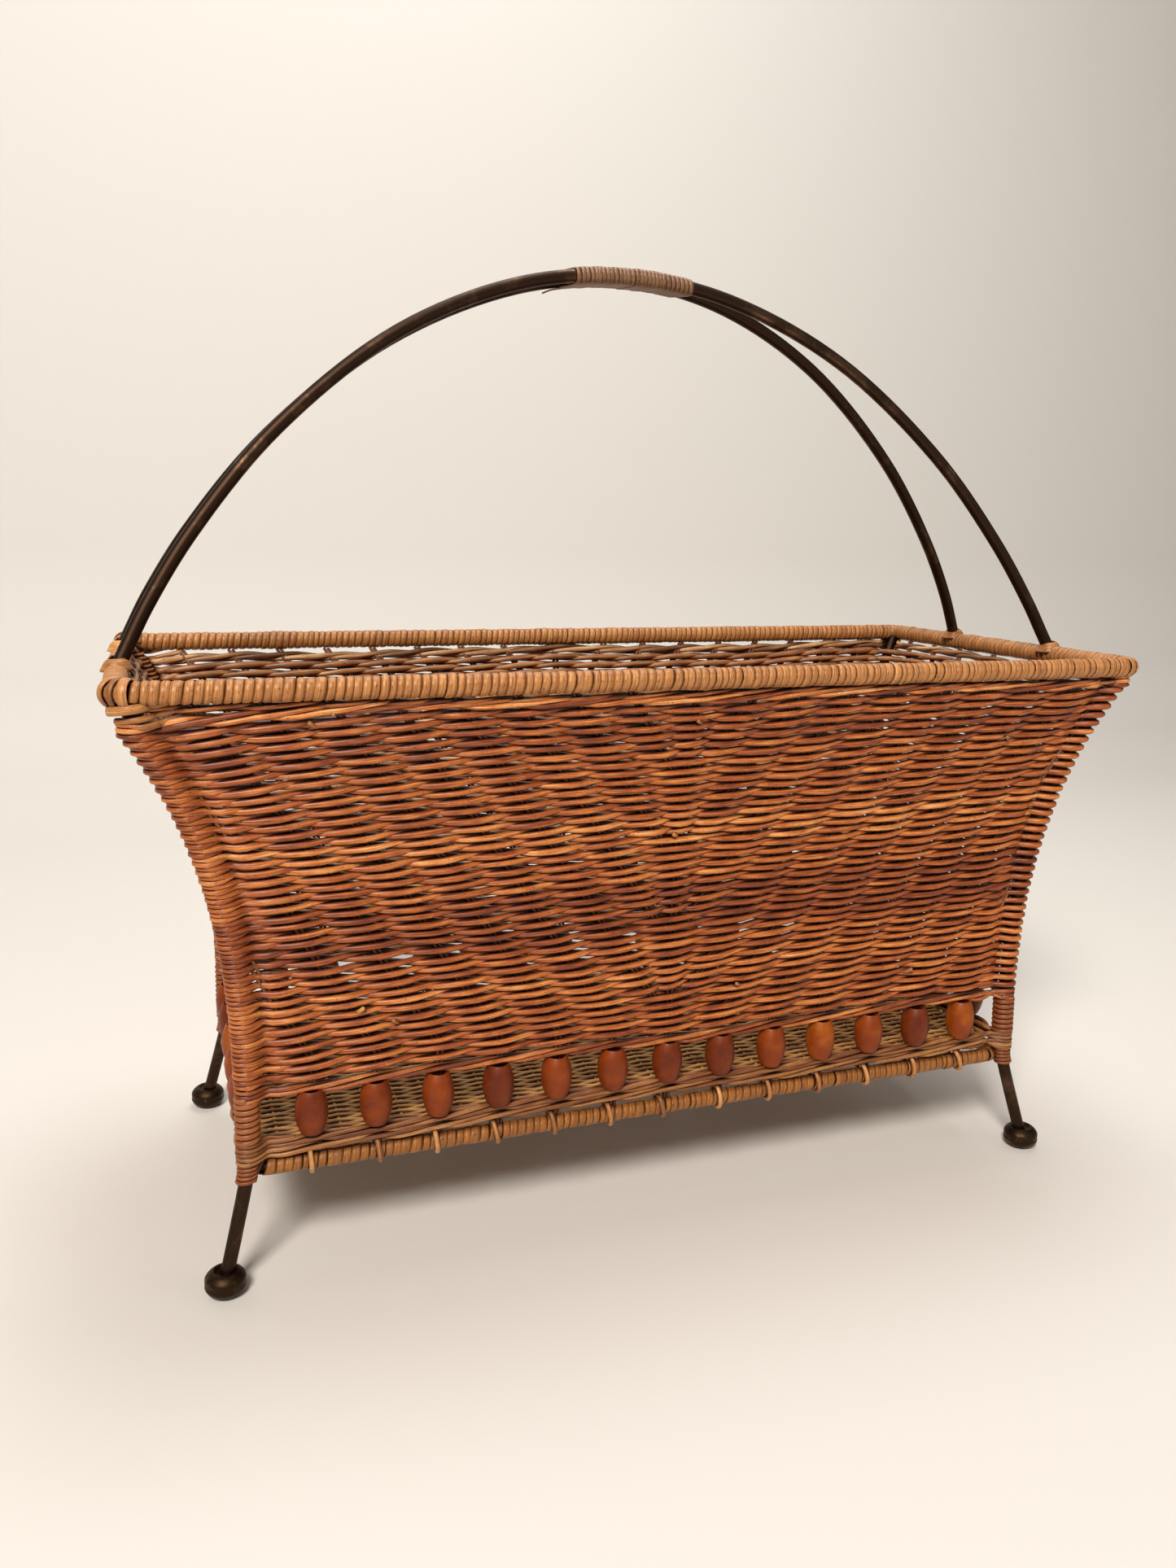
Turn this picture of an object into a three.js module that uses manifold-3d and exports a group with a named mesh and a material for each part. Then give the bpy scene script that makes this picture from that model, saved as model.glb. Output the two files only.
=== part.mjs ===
// Magazine basket: a steel rod frame on four ball feet, four twined rattan walls that flare to a
// cane-bound rim, a band of wooden beads threaded on the stakes, a woven base, and a handle of two
// arched rods with a wound cane grip. Millimetres, +Z up, the origin on the floor under the middle,
// +X along the long side, the front at -Y.
import * as THREE from "three";
import { mergeVertices } from "three/addons/utils/BufferGeometryUtils.js";
import Module from "manifold-3d";

const wasm = await Module();
wasm.setup();

// Steel rods, and the gap left between pieces that touch.
const rod_diameter = 6.35;
const rail_rod_diameter = 4.76;
const seat_gap = 0.3;

// Rim: the upper ring of rod, between centre lines, and the cane wound round it.
const rim_length = 491;
const rim_depth = 215;
const rim_height = 271;
const rim_corner_radius = 8;
const rim_binding_diameter = 11;

// Rail: the lower ring of thinner rod and its cane.
const rail_length = 402.5;
const rail_depth = 168;
const rail_height = 53;
const rail_corner_radius = 8;
const rail_binding_diameter = 8.2;
const rail_weld_room = 1.2; // round the posts, where the rail's cane is parted

// Feet: flattened balls, each with a neck for the end of its leg.
const foot_spacing_length = 430;
const foot_spacing_depth = 187;
const foot_diameter = 18.8;
const foot_height = 11.4;
const foot_rest_diameter = 9;
const foot_neck_diameter = 8.6;
const foot_neck_height = 1.2;
const leg_splay_power = 1.05;

// Handle: two arched rods that start apart on the short rims and lie side by side at the top.
const handle_rise = 186.8;
const handle_foot_spacing = 87;
const handle_top_spacing = 9;
const grip_length = 62;
const grip_offset = 4.5; // it sits a little to the right of the middle
const grip_turns = 20;
const grip_strip_width = 2.35;
const grip_strip_thickness = 1.5;

// Walls: rows of twined weavers on stakes, and the columns they form round the posts.
const end_flare_power = 3.2;
const side_flare_power = 3.6;
const wall_bottom = 88.2;
const wall_row_pitch = 15; // one ridge for three or four rows of weavers
const wall_thickness = 6;
const wall_groove_thickness = 4.6;
const outer_reach_at_stakes = 3.5; // from the wall's middle, where weavers pass in front of a stake
const outer_reach_between_stakes = 2;
const outer_reach_between_rows = 1.5;
const column_bottom_diameter = 11;
const column_top_diameter = 15;
const stake_diameter = 4.2;
const stake_grip = 3;

// Lower rows: the rows of weaving that the beads stand on, just above the rail.
const lower_rows_height = 9;
const lower_row_pitch = 4.5;

// Beads: wooden barrels, each threaded on one stake.
const bead_end_distance = 27; // from a rail's end to its first bead
const bead_diameter = 15;
const bead_height = 21.2;
const bead_end_diameter = 10.4;
const bead_bore_diameter = 5.6;
const beads_per_side = 13;
const beads_per_end = 5;

// Post wraps: round cane wound on each post between the rail and the walls.
const wrap_cane_diameter = 2.2;
const wrap_pitch = 3.3;

// Base: rods woven lengthwise over the cross stakes.
const base_thickness = 5;
const base_groove_thickness = 3.4;
const base_row_pitch = 9.6; // one ridge for each two rods

// How finely round things are drawn.
const rod_sides = 8;
const leg_steps = 2;
const post_steps = 10;
const handle_steps = 32;
const corner_steps = 2;
const binding_sides = 8;
const column_sides = 8;
const bead_sides = 8;
const foot_sides = 10;
const stake_sides = 4;
const grip_loop_steps = 8;
const grip_sides = 4;
const wrap_loop_steps = 8;
const wrap_sides = 4;

// Half the handle seen from the front: how far out, how high and how far apart the rods are, as
// shares of half the rim's length, of the rise and of the spacing lost between foot and top.
const handle_shares = [
  [1, 0, 1],
  [0.995, 0.022, 0.986],
  [0.978, 0.069, 0.94],
  [0.943, 0.158, 0.859],
  [0.861, 0.326, 0.718],
  [0.706, 0.569, 0.512],
  [0.472, 0.816, 0.269],
  [0.22, 0.961, 0.073],
  [0, 1, 0],
];

// Half the outline of a bead from its middle to its end: radius gained over the end, and height.
const bead_outline_shares = [
  [1, 0.3],
  [1, -0.3],
];

// Outline of a ball foot from its rest to its neck: radius and height.
const foot_outline_shares = [
  [0.86, 0.2],
  [1, 0.5],
  [0.86, 0.8],
];

const corner_inset_share = 1 - Math.SQRT1_2;
const quarter_turn = 90;
const sides_x = [-1, 1];
const sides_y = [-1, 1];

// Finishes.
const bronzed_steel = new THREE.MeshStandardMaterial({ color: 0x3b2a20, roughness: 0.42, metalness: 0.6 });
const foot_metal = new THREE.MeshStandardMaterial({ color: 0x4a3524, roughness: 0.36, metalness: 0.7 });
const cane = new THREE.MeshStandardMaterial({ color: 0xb98a55, roughness: 0.5, metalness: 0 });
const rattan = new THREE.MeshStandardMaterial({ color: 0xa86a3c, roughness: 0.55, metalness: 0 });
const base_rattan = new THREE.MeshStandardMaterial({ color: 0x8c745c, roughness: 0.65, metalness: 0 });
const bead_wood = new THREE.MeshStandardMaterial({ color: 0x8a4a20, roughness: 0.3, metalness: 0 });

// Closed mesh to solid and back.
function to_solid(geometry) {
  const bare = geometry.clone();
  bare.deleteAttribute("normal");
  bare.deleteAttribute("uv");
  const merged = mergeVertices(bare);
  const mesh = new wasm.Mesh({
    numProp: 3,
    vertProperties: merged.attributes.position.array,
    triVerts: Uint32Array.from(merged.index.array),
  });
  return new wasm.Manifold(mesh);
}

function to_geometry(solid) {
  const mesh = solid.getMesh();
  const geometry = new THREE.BufferGeometry();
  geometry.setAttribute("position", new THREE.BufferAttribute(mesh.vertProperties, 3));
  geometry.setIndex(new THREE.BufferAttribute(mesh.triVerts, 1));
  geometry.computeVertexNormals();
  return geometry;
}

// Rings of points joined one after another into a closed body, with flat ends or end to end.
function skin(rings, closed) {
  const sides = rings[0].length;
  const index = [];
  const last_ring = closed ? rings.length : rings.length - 1;
  for (let ring = 0; ring < last_ring; ring += 1) {
    const here = ring * sides;
    const ahead = ((ring + 1) % rings.length) * sides;
    for (let side = 0; side < sides; side += 1) {
      const next = (side + 1) % sides;
      index.push(here + side, ahead + side, ahead + next);
      index.push(here + side, ahead + next, here + next);
    }
  }
  if (!closed) {
    const end = last_ring * sides;
    for (let side = 1; side + 1 < sides; side += 1) {
      index.push(0, side, side + 1);
      index.push(end, end + side + 1, end + side);
    }
  }
  const geometry = new THREE.BufferGeometry();
  const positions = rings.flat().flatMap((point) => point.toArray());
  geometry.setAttribute("position", new THREE.Float32BufferAttribute(positions, 3));
  geometry.setIndex(index);
  geometry.computeVertexNormals();
  return geometry;
}

// A ring of points round a centre, flattened along one of its two axes if the radii differ.
function section(centre, out, across, out_radius, across_radius, sides) {
  const ring = [];
  for (let side = 0; side < sides; side += 1) {
    const angle = (2 * Math.PI * side) / sides;
    const point = centre.clone();
    point.addScaledVector(out, out_radius * Math.cos(angle));
    point.addScaledVector(across, across_radius * Math.sin(angle));
    ring.push(point);
  }
  return ring;
}

// Round rod with a section at each of its points. It never runs along the Y axis.
function rod_through(points, radius, sides) {
  const ahead_of_side = new THREE.Vector3(0, 1, 0);
  const rings = points.map((centre, place) => {
    const before = points[Math.max(0, place - 1)];
    const after = points[Math.min(points.length - 1, place + 1)];
    const along = after.clone().sub(before).normalize();
    const across = along.clone().cross(ahead_of_side).normalize();
    const out = along.clone().cross(across);
    return section(centre, out, across, radius, radius, sides);
  });
  return skin(rings, false);
}

// Round rod along a smooth open path.
function rod_along(points, radius, sides, steps) {
  const outline = new THREE.Shape();
  for (let side = 0; side < sides; side += 1) {
    const angle = (2 * Math.PI * side) / sides;
    const corner = [radius * Math.cos(angle), radius * Math.sin(angle)];
    if (side === 0) outline.moveTo(...corner);
    else outline.lineTo(...corner);
  }
  outline.closePath();
  const path = new THREE.CatmullRomCurve3(points, false, "centripetal");
  return new THREE.ExtrudeGeometry(outline, { steps, extrudePath: path });
}

// Level ring of rod: a rounded rectangle, given by its centre line.
function rod_ring(length, depth, height, corner_radius, radius, sides) {
  const up = new THREE.Vector3(0, 0, 1);
  const rings = [];
  for (let quarter = 0; quarter < 4; quarter += 1) {
    const side_x = quarter === 0 || quarter === 3 ? 1 : -1;
    const side_y = quarter < 2 ? 1 : -1;
    for (let step = 0; step <= corner_steps; step += 1) {
      const angle = ((quarter + step / corner_steps) * Math.PI) / 2;
      const out = new THREE.Vector3(Math.cos(angle), Math.sin(angle), 0);
      const centre = new THREE.Vector3(
        side_x * (length / 2 - corner_radius),
        side_y * (depth / 2 - corner_radius),
        height,
      );
      centre.addScaledVector(out, corner_radius);
      rings.push(section(centre, out, up, radius, radius, sides));
    }
  }
  return skin(rings, true);
}

function rim_ring(radius, sides) {
  return rod_ring(rim_length, rim_depth, rim_height, rim_corner_radius, radius, sides);
}

function rail_ring(radius, sides) {
  return rod_ring(rail_length, rail_depth, rail_height, rail_corner_radius, radius, sides);
}

// Half the size of the wall's middle surface at a height: straight above the rail, flared at the rim.
function wall_half_size(height) {
  const share = Math.max(0, (height - rail_height) / (rim_height - rail_height));
  return {
    x: rail_length / 2 + ((rim_length - rail_length) / 2) * share ** end_flare_power,
    y: rail_depth / 2 + ((rim_depth - rail_depth) / 2) * share ** side_flare_power,
  };
}

// The posts pass outside the rail's corners, follow the wall corners up to the middle of the rim's
// corners, and splay below the rail to the feet.
const rods_apart = rod_diameter / 2 + rail_rod_diameter / 2 + seat_gap;
const post_offset_at_rail = rods_apart * Math.SQRT1_2 - rail_corner_radius * corner_inset_share;
const post_offset_at_rim = -rim_corner_radius * corner_inset_share;
const post_offset_power = 6;
const foot_middle = foot_height / 2;

function post_point(side_x, side_y, height) {
  const wall = wall_half_size(height);
  const rise = THREE.MathUtils.clamp((height - rail_height) / (rim_height - rail_height), 0, 1);
  const drop = THREE.MathUtils.clamp((rail_height - height) / (rail_height - foot_middle), 0, 1);
  const from_rail = post_offset_at_rail * (1 - rise) ** post_offset_power;
  const offset = from_rail + post_offset_at_rim * rise ** post_offset_power;
  const splay_length = foot_spacing_length / 2 - rail_length / 2 - post_offset_at_rail;
  const splay_depth = foot_spacing_depth / 2 - rail_depth / 2 - post_offset_at_rail;
  const splay = drop ** leg_splay_power;
  return new THREE.Vector3(
    side_x * (wall.x + offset + splay_length * splay),
    side_y * (wall.y + offset + splay_depth * splay),
    height,
  );
}

function post_stretch(side_x, side_y, bottom, top, steps) {
  const points = [];
  for (let step = 0; step <= steps; step += 1) {
    points.push(post_point(side_x, side_y, THREE.MathUtils.lerp(bottom, top, step / steps)));
  }
  return points;
}

// Post, or with a clearance the room that it needs, up to the underside of the rim's rod.
const post_top = rim_height - rod_diameter / 2;

function post_rod(side_x, side_y, clearance) {
  const leg = post_stretch(side_x, side_y, foot_middle, rail_height, leg_steps);
  const upright = post_stretch(side_x, side_y, rail_height, post_top, post_steps);
  leg.pop();
  upright.pop();
  const points = [...leg, ...upright, post_point(side_x, side_y, post_top + clearance)];
  return to_solid(rod_through(points, rod_diameter / 2 + clearance, rod_sides));
}

// Handle rod from one short rim over to the other.
function handle_points(side_y) {
  const half = handle_shares.map(([out, rise, spread]) => {
    const spacing = THREE.MathUtils.lerp(handle_top_spacing, handle_foot_spacing, spread);
    return new THREE.Vector3(
      (rim_length / 2) * out,
      (side_y * spacing) / 2,
      rim_height + handle_rise * rise,
    );
  });
  const other_half = half.slice(0, -1).map((point) => new THREE.Vector3(-point.x, point.y, point.z));
  return [...other_half, ...half.reverse()];
}

function handle_rod(side_y, radius) {
  return to_solid(rod_along(handle_points(side_y), radius, rod_sides, handle_steps));
}

// Profile with a ridge for each row, as points of (across, along), up one face and down the other.
function ridged_profile(start, end, pitch, ridge_thickness, groove_thickness, middle_at) {
  const rows = Math.round((end - start) / pitch);
  const face = [];
  for (let step = 0; step <= 2 * rows; step += 1) {
    const along = THREE.MathUtils.lerp(start, end, step / (2 * rows));
    const half_thickness = (step % 2 === 0 ? groove_thickness : ridge_thickness) / 2;
    face.push({ along, middle: middle_at(along), half_thickness });
  }
  const outer = face.map((row) => new THREE.Vector2(row.middle + row.half_thickness, row.along));
  const inner = face.map((row) => new THREE.Vector2(row.middle - row.half_thickness, row.along));
  return [...outer, ...inner.reverse()];
}

// Profile run along X between two ends that may move out as the height changes.
function profile_run(profile, half_run_at) {
  const geometry = new THREE.ExtrudeGeometry(new THREE.Shape(profile), { depth: 1, bevelEnabled: false });
  const position = geometry.attributes.position;
  for (let vertex = 0; vertex < position.count; vertex += 1) {
    const across = position.getX(vertex);
    const along = position.getY(vertex);
    const side_x = 2 * position.getZ(vertex) - 1;
    position.setXYZ(vertex, side_x * half_run_at(along), across, along);
  }
  return geometry;
}

// Where one line of a wall's outer face has its points, as shares of half the wall's run. A line
// between rows has one halfway between stakes, and a row's crest has one at each stake too.
function line_shares(stake_shares, is_crest) {
  const half_pitch = (stake_shares[1] - stake_shares[0]) / 2;
  const shares = [-1, stake_shares[0] - half_pitch];
  for (const share of stake_shares) {
    if (is_crest) shares.push(share);
    shares.push(share + half_pitch);
  }
  return [...shares, 1];
}

// Strip between a line between rows and a row's crest. Each stake stands over one stretch of the
// first, and the stretches at the two ends have none.
function crest_strip(groove, crest) {
  const faces = [];
  const last = groove.length - 2;
  for (let stretch = 0; stretch <= last; stretch += 1) {
    const [start, end] = [groove[stretch], groove[stretch + 1]];
    const above = stretch === 0 ? 0 : 2 * stretch - 1;
    const [first, next] = [crest[above], crest[above + 1]];
    faces.push([start, first, next], [start, next, end]);
    if (stretch > 0 && stretch < last) faces.push([end, next, crest[above + 2]]);
  }
  return faces;
}

// Rows of twining as a closed body that faces +Y. The outer face bulges over each stake, draws in
// between stakes and between rows, and the inner face has a ridge for each row.
function twined_rows(middle_at, half_run_at, stake_places) {
  const rows = Math.round((rim_height - wall_bottom) / wall_row_pitch);
  const stake_shares = stake_places.map((place) => place / half_run_at(wall_bottom));
  const positions = [];
  const faces = [];
  const outer = [];
  const inner = [];
  const add_point = (x, y, z) => positions.push(x, y, z) / 3 - 1;
  for (let line = 0; line <= 2 * rows; line += 1) {
    const height = THREE.MathUtils.lerp(wall_bottom, rim_height, line / (2 * rows));
    const half_run = half_run_at(height);
    const middle = middle_at(height);
    const is_crest = line % 2 === 1;
    outer.push(line_shares(stake_shares, is_crest).map((share) => {
      const reach = stake_shares.includes(share) ? outer_reach_at_stakes : outer_reach_between_stakes;
      return add_point(share * half_run, middle + (is_crest ? reach : outer_reach_between_rows), height);
    }));
    const inner_reach = (is_crest ? wall_thickness : wall_groove_thickness) / 2;
    inner.push(sides_x.map((side_x) => add_point(side_x * half_run, middle - inner_reach, height)));
  }
  for (let line = 0; line < 2 * rows; line += 1) {
    const [left, right] = inner[line];
    const [left_above, right_above] = inner[line + 1];
    const [outer_left, outer_left_above] = [outer[line][0], outer[line + 1][0]];
    const [outer_right, outer_right_above] = [outer[line].at(-1), outer[line + 1].at(-1)];
    faces.push([left, right, right_above], [left, right_above, left_above]);
    faces.push([right, outer_right, outer_right_above], [right, outer_right_above, right_above]);
    faces.push([outer_left, left, left_above], [outer_left, left_above, outer_left_above]);
    const rising = line % 2 === 0;
    const strip = rising ? crest_strip(outer[line], outer[line + 1]) : crest_strip(outer[line + 1], outer[line]);
    faces.push(...(rising ? strip : strip.map((face) => face.reverse())));
  }
  for (const line of [0, 2 * rows]) {
    const edge = [...outer[line], inner[line][1]];
    const lid = edge.slice(1).map((point, place) => [inner[line][0], edge[place], point]);
    faces.push(...(line === 0 ? lid : lid.map((face) => face.reverse())));
  }
  const geometry = new THREE.BufferGeometry();
  geometry.setAttribute("position", new THREE.Float32BufferAttribute(positions, 3));
  geometry.setIndex(faces.flat());
  return geometry;
}

// One woven wall, drawn facing +Y: the rows between the posts, the stakes down through the beads
// and the lower rows. The rim binding is pressed into its top.
const rail_top = rail_height + rail_binding_diameter / 2;
const lower_rows_bottom = rail_top + seat_gap;
const lower_rows_top = lower_rows_bottom + lower_rows_height;

function bead_places(count, rail) {
  const pitch = (rail - 2 * bead_end_distance) / (count - 1);
  return Array.from({ length: count }, (unused, bead) => (bead - (count - 1) / 2) * pitch);
}

function woven_wall(middle_at, half_run_at, lower_half_run, stake_places) {
  const lower_rows = ridged_profile(
    lower_rows_bottom, lower_rows_top, lower_row_pitch, wall_thickness, wall_groove_thickness, middle_at,
  );
  let wall = to_solid(twined_rows(middle_at, half_run_at, stake_places));
  wall = wall.add(to_solid(profile_run(lower_rows, () => lower_half_run)));
  const stake_bottom = lower_rows_top - stake_grip;
  const stake_top = wall_bottom + stake_grip;
  for (const place of stake_places) {
    const stake = new THREE.CylinderGeometry(
      stake_diameter / 2, stake_diameter / 2, stake_top - stake_bottom, stake_sides,
    );
    stake.rotateX(Math.PI / 2);
    stake.translate(place, middle_at(wall_bottom), (stake_bottom + stake_top) / 2);
    wall = wall.add(to_solid(stake));
  }
  return wall;
}

const rim_binding_room = to_solid(rim_ring(rim_binding_diameter / 2 + seat_gap, binding_sides));

// Post wrap: how far its cane's middle lies from the post's, and its outside with the gap.
const wrap_rounding = Math.cos(Math.PI / wrap_loop_steps);
const wrap_reach = (rod_diameter / 2 + seat_gap + wrap_cane_diameter / 2) / wrap_rounding;
const wrap_outer_radius = wrap_reach + wrap_cane_diameter / 2 + seat_gap;

// Column that the weavers form round a post, wider towards the rim.
function column(side_x, side_y, clearance) {
  const ahead = new THREE.Vector3(0, 1, 0);
  const aside = new THREE.Vector3(1, 0, 0);
  const column_top = rim_height - rim_binding_diameter / 2;
  const points = post_stretch(side_x, side_y, wall_bottom, column_top, post_steps);
  const rings = points.map((centre, step) => {
    const share = step / post_steps;
    const diameter = THREE.MathUtils.lerp(column_bottom_diameter, column_top_diameter, share);
    const radius = diameter / 2 + clearance;
    return section(centre, ahead, aside, radius, radius, column_sides);
  });
  return to_solid(skin(rings, false));
}

// Long wall, at the back: its weavers turn round the posts at both ends.
function long_wall() {
  let wall = woven_wall(
    (height) => wall_half_size(height).y,
    (height) => post_point(1, 1, height).x,
    post_point(1, 1, lower_rows_top).x - wrap_outer_radius - seat_gap,
    bead_places(beads_per_side, rail_length),
  );
  for (const side_x of sides_x) {
    wall = wall.add(column(side_x, 1, 0));
  }
  for (const side_x of sides_x) {
    wall = wall.subtract(post_rod(side_x, 1, seat_gap));
  }
  return to_geometry(wall.subtract(rim_binding_room));
}

// Short wall, at the right: it ends against the columns of the long ones.
function short_wall() {
  let wall = woven_wall(
    (height) => wall_half_size(height).x,
    (height) => post_point(1, 1, height).y - column_bottom_diameter / 4,
    post_point(1, 1, lower_rows_top).y - wrap_outer_radius - seat_gap,
    bead_places(beads_per_end, rail_depth),
  ).rotate([0, 0, -quarter_turn]);
  for (const side_y of sides_y) {
    wall = wall.subtract(column(1, side_y, seat_gap));
    wall = wall.subtract(post_rod(1, side_y, seat_gap));
  }
  return to_geometry(wall.subtract(rim_binding_room));
}

// Cane sleeve on a ring of rod, open where posts and handle rods pass.
function binding(ring, outer_diameter, inner_diameter, rooms) {
  const outer = to_solid(ring(outer_diameter / 2, binding_sides));
  const inner = to_solid(ring(inner_diameter / 2 + seat_gap, rod_sides));
  let sleeve = outer.subtract(inner);
  for (const room of rooms) {
    sleeve = sleeve.subtract(room);
  }
  return to_geometry(sleeve);
}

function corner_rooms(clearance) {
  return sides_x.flatMap((side_x) => sides_y.map((side_y) => post_rod(side_x, side_y, clearance)));
}

// One unbroken strand wound in turns, with a straight run of one strand at each end.
function winding(turns, loop_steps, sides, place_at, out_radius, across_radius) {
  const steps = turns * loop_steps;
  const places = [];
  for (let step = 0; step <= steps; step += 1) {
    places.push(place_at(step / loop_steps));
  }
  const run = 2 * Math.max(out_radius, across_radius);
  const lead = places[0].centre.clone().sub(places[1].centre).normalize();
  const tail = places.at(-1).centre.clone().sub(places.at(-2).centre).normalize();
  places.unshift({ ...places[0], centre: places[0].centre.clone().addScaledVector(lead, run) });
  places.push({ ...places.at(-1), centre: places.at(-1).centre.clone().addScaledVector(tail, run) });
  return places.map((place) => {
    return section(place.centre, place.out, place.across, out_radius, across_radius, sides);
  });
}

// Least distance between points of the strand that lie half a turn or more apart along it.
function least_gap(rings, loop_steps) {
  let least = Infinity;
  for (let ring = 0; ring < rings.length; ring += 1) {
    for (let other = ring + loop_steps / 2; other < rings.length; other += 1) {
      for (const point of rings[ring]) {
        for (const far of rings[other]) {
          least = Math.min(least, point.distanceTo(far));
        }
      }
    }
  }
  return least;
}

// Grip: a flat strip wound round both handle rods, its turns following the arch.
function grip_rings() {
  const front = new THREE.CatmullRomCurve3(handle_points(-1), false, "centripetal");
  const fine = front.getSpacedPoints(handle_steps * handle_steps);
  const across = new THREE.Vector3(1, 0, 0);
  const strip_radius = rod_diameter / 2 + seat_gap + grip_strip_thickness / 2;
  const rounding = Math.cos(Math.PI / grip_loop_steps);
  const place_at = (turn) => {
    const along = grip_offset + (turn / grip_turns - 0.5) * grip_length;
    const nearest = fine.reduce((best, point) => {
      return Math.abs(point.x - along) < Math.abs(best.x - along) ? point : best;
    });
    const angle = 2 * Math.PI * (turn + 0.5 / grip_loop_steps) - Math.PI / 2;
    const out = new THREE.Vector3(0, Math.cos(angle), Math.sin(angle));
    const centre = new THREE.Vector3(along, -nearest.y * Math.sign(out.y), nearest.z);
    centre.addScaledVector(out, strip_radius / rounding);
    return { centre, out, across };
  };
  return winding(
    grip_turns, grip_loop_steps, grip_sides, place_at, grip_strip_thickness / 2, grip_strip_width / 2,
  );
}

// Post wrap: round cane wound up a post from the rail binding to the wall's first row.
function wrap_rings(side_x, side_y) {
  const bottom = rail_top + seat_gap + wrap_cane_diameter / 2 + seat_gap;
  const top = wall_bottom - seat_gap - wrap_cane_diameter / 2 - seat_gap;
  const turns = Math.floor((top - bottom) / wrap_pitch);
  const across = new THREE.Vector3(0, 0, 1);
  const place_at = (turn) => {
    const height = bottom + ((top - bottom) * turn) / turns;
    const angle = 2 * Math.PI * turn + Math.atan2(-side_y, -side_x);
    const out = new THREE.Vector3(Math.cos(angle), Math.sin(angle), 0);
    const centre = post_point(side_x, side_y, height).addScaledVector(out, wrap_reach);
    return { centre, out, across };
  };
  return winding(
    turns, wrap_loop_steps, wrap_sides, place_at, wrap_cane_diameter / 2, wrap_cane_diameter / 2,
  );
}

// Barrel bead with its bore, drawn round the Z axis about its own middle.
function bead_geometry() {
  const end_radius = bead_end_diameter / 2;
  const bulge = bead_diameter / 2 - end_radius;
  const half_height = bead_height / 2;
  const outline = [
    new THREE.Vector2(bead_bore_diameter / 2, -half_height),
    new THREE.Vector2(end_radius, -half_height),
  ];
  for (const [out, up] of [...bead_outline_shares].reverse()) {
    outline.push(new THREE.Vector2(end_radius + bulge * out, half_height * up));
  }
  outline.push(new THREE.Vector2(end_radius, half_height));
  outline.push(new THREE.Vector2(bead_bore_diameter / 2, half_height));
  outline.push(outline[0].clone());
  const bead = new THREE.LatheGeometry(outline, bead_sides);
  bead.rotateX(Math.PI / 2);
  return to_geometry(to_solid(bead));
}

// Ball foot under one leg, with a neck and a blind socket for the leg's end.
function foot_geometry(side_x, side_y) {
  const outline = [new THREE.Vector2(0, 0), new THREE.Vector2(foot_rest_diameter / 2, 0)];
  for (const [out, up] of foot_outline_shares) {
    outline.push(new THREE.Vector2((foot_diameter / 2) * out, foot_height * up));
  }
  outline.push(new THREE.Vector2(foot_neck_diameter / 2, foot_height));
  outline.push(new THREE.Vector2(0, foot_height));
  const ball = new THREE.LatheGeometry(outline, foot_sides);
  ball.rotateX(Math.PI / 2);
  const under = post_point(side_x, side_y, foot_middle);
  ball.translate(under.x, under.y, 0);
  const neck_path = post_stretch(side_x, side_y, foot_middle, foot_height + foot_neck_height, leg_steps);
  const neck = to_solid(rod_through(neck_path, foot_neck_diameter / 2, foot_sides));
  const socket_radius = rod_diameter / 2 + seat_gap;
  const socket_path = [under.clone(), under.clone()];
  socket_path[0].z -= seat_gap;
  const socket = to_solid(rod_through(socket_path, socket_radius, rod_sides));
  const foot = to_solid(ball).add(neck).subtract(socket);
  return to_geometry(foot.subtract(post_rod(side_x, side_y, seat_gap)));
}

// Woven base: it lies on the rail binding, inside the lower rows.
function base_geometry() {
  const half_depth = wall_half_size(rail_height).y - wall_thickness / 2 - seat_gap;
  const half_length = wall_half_size(rail_height).x - wall_thickness / 2 - seat_gap;
  const middle = rail_top + seat_gap + base_thickness / 2;
  const profile = ridged_profile(
    -half_depth, half_depth, base_row_pitch, base_thickness, base_groove_thickness, () => middle,
  );
  const upright = profile.map((point) => new THREE.Vector2(point.y, point.x));
  return profile_run(upright, () => half_length);
}

// Assembly.
const basket = new THREE.Group();

function add_piece(name, geometry, material, turn = 0) {
  const mesh = new THREE.Mesh(geometry, material);
  mesh.name = name;
  mesh.rotation.z = turn;
  basket.add(mesh);
  return mesh;
}

const rim_rod_room = to_solid(rim_ring(rod_diameter / 2 + seat_gap, rod_sides));
const side_names = { "-1": "front", 1: "back" };
const end_names = { "-1": "left", 1: "right" };

add_piece("rim_frame", rim_ring(rod_diameter / 2, rod_sides), bronzed_steel);
add_piece("lower_frame", rail_ring(rail_rod_diameter / 2, rod_sides), bronzed_steel);

const handle_rooms = sides_y.map((side_y) => handle_rod(side_y, rod_diameter / 2 + seat_gap));
add_piece(
  "rim_binding",
  binding(rim_ring, rim_binding_diameter, rod_diameter, [...corner_rooms(seat_gap), ...handle_rooms]),
  cane,
);
add_piece(
  "lower_binding",
  binding(rail_ring, rail_binding_diameter, rail_rod_diameter, corner_rooms(rail_weld_room)),
  cane,
);

for (const side_y of sides_y) {
  const rod = handle_rod(side_y, rod_diameter / 2).subtract(rim_rod_room);
  add_piece(`handle_rod_${side_names[side_y]}`, to_geometry(rod), bronzed_steel);
}

const grip = grip_rings();
add_piece("grip_binding", skin(grip, false), cane);
console.log(`grip binding, least gap to itself: ${least_gap(grip, grip_loop_steps).toFixed(2)} mm`);

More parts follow.
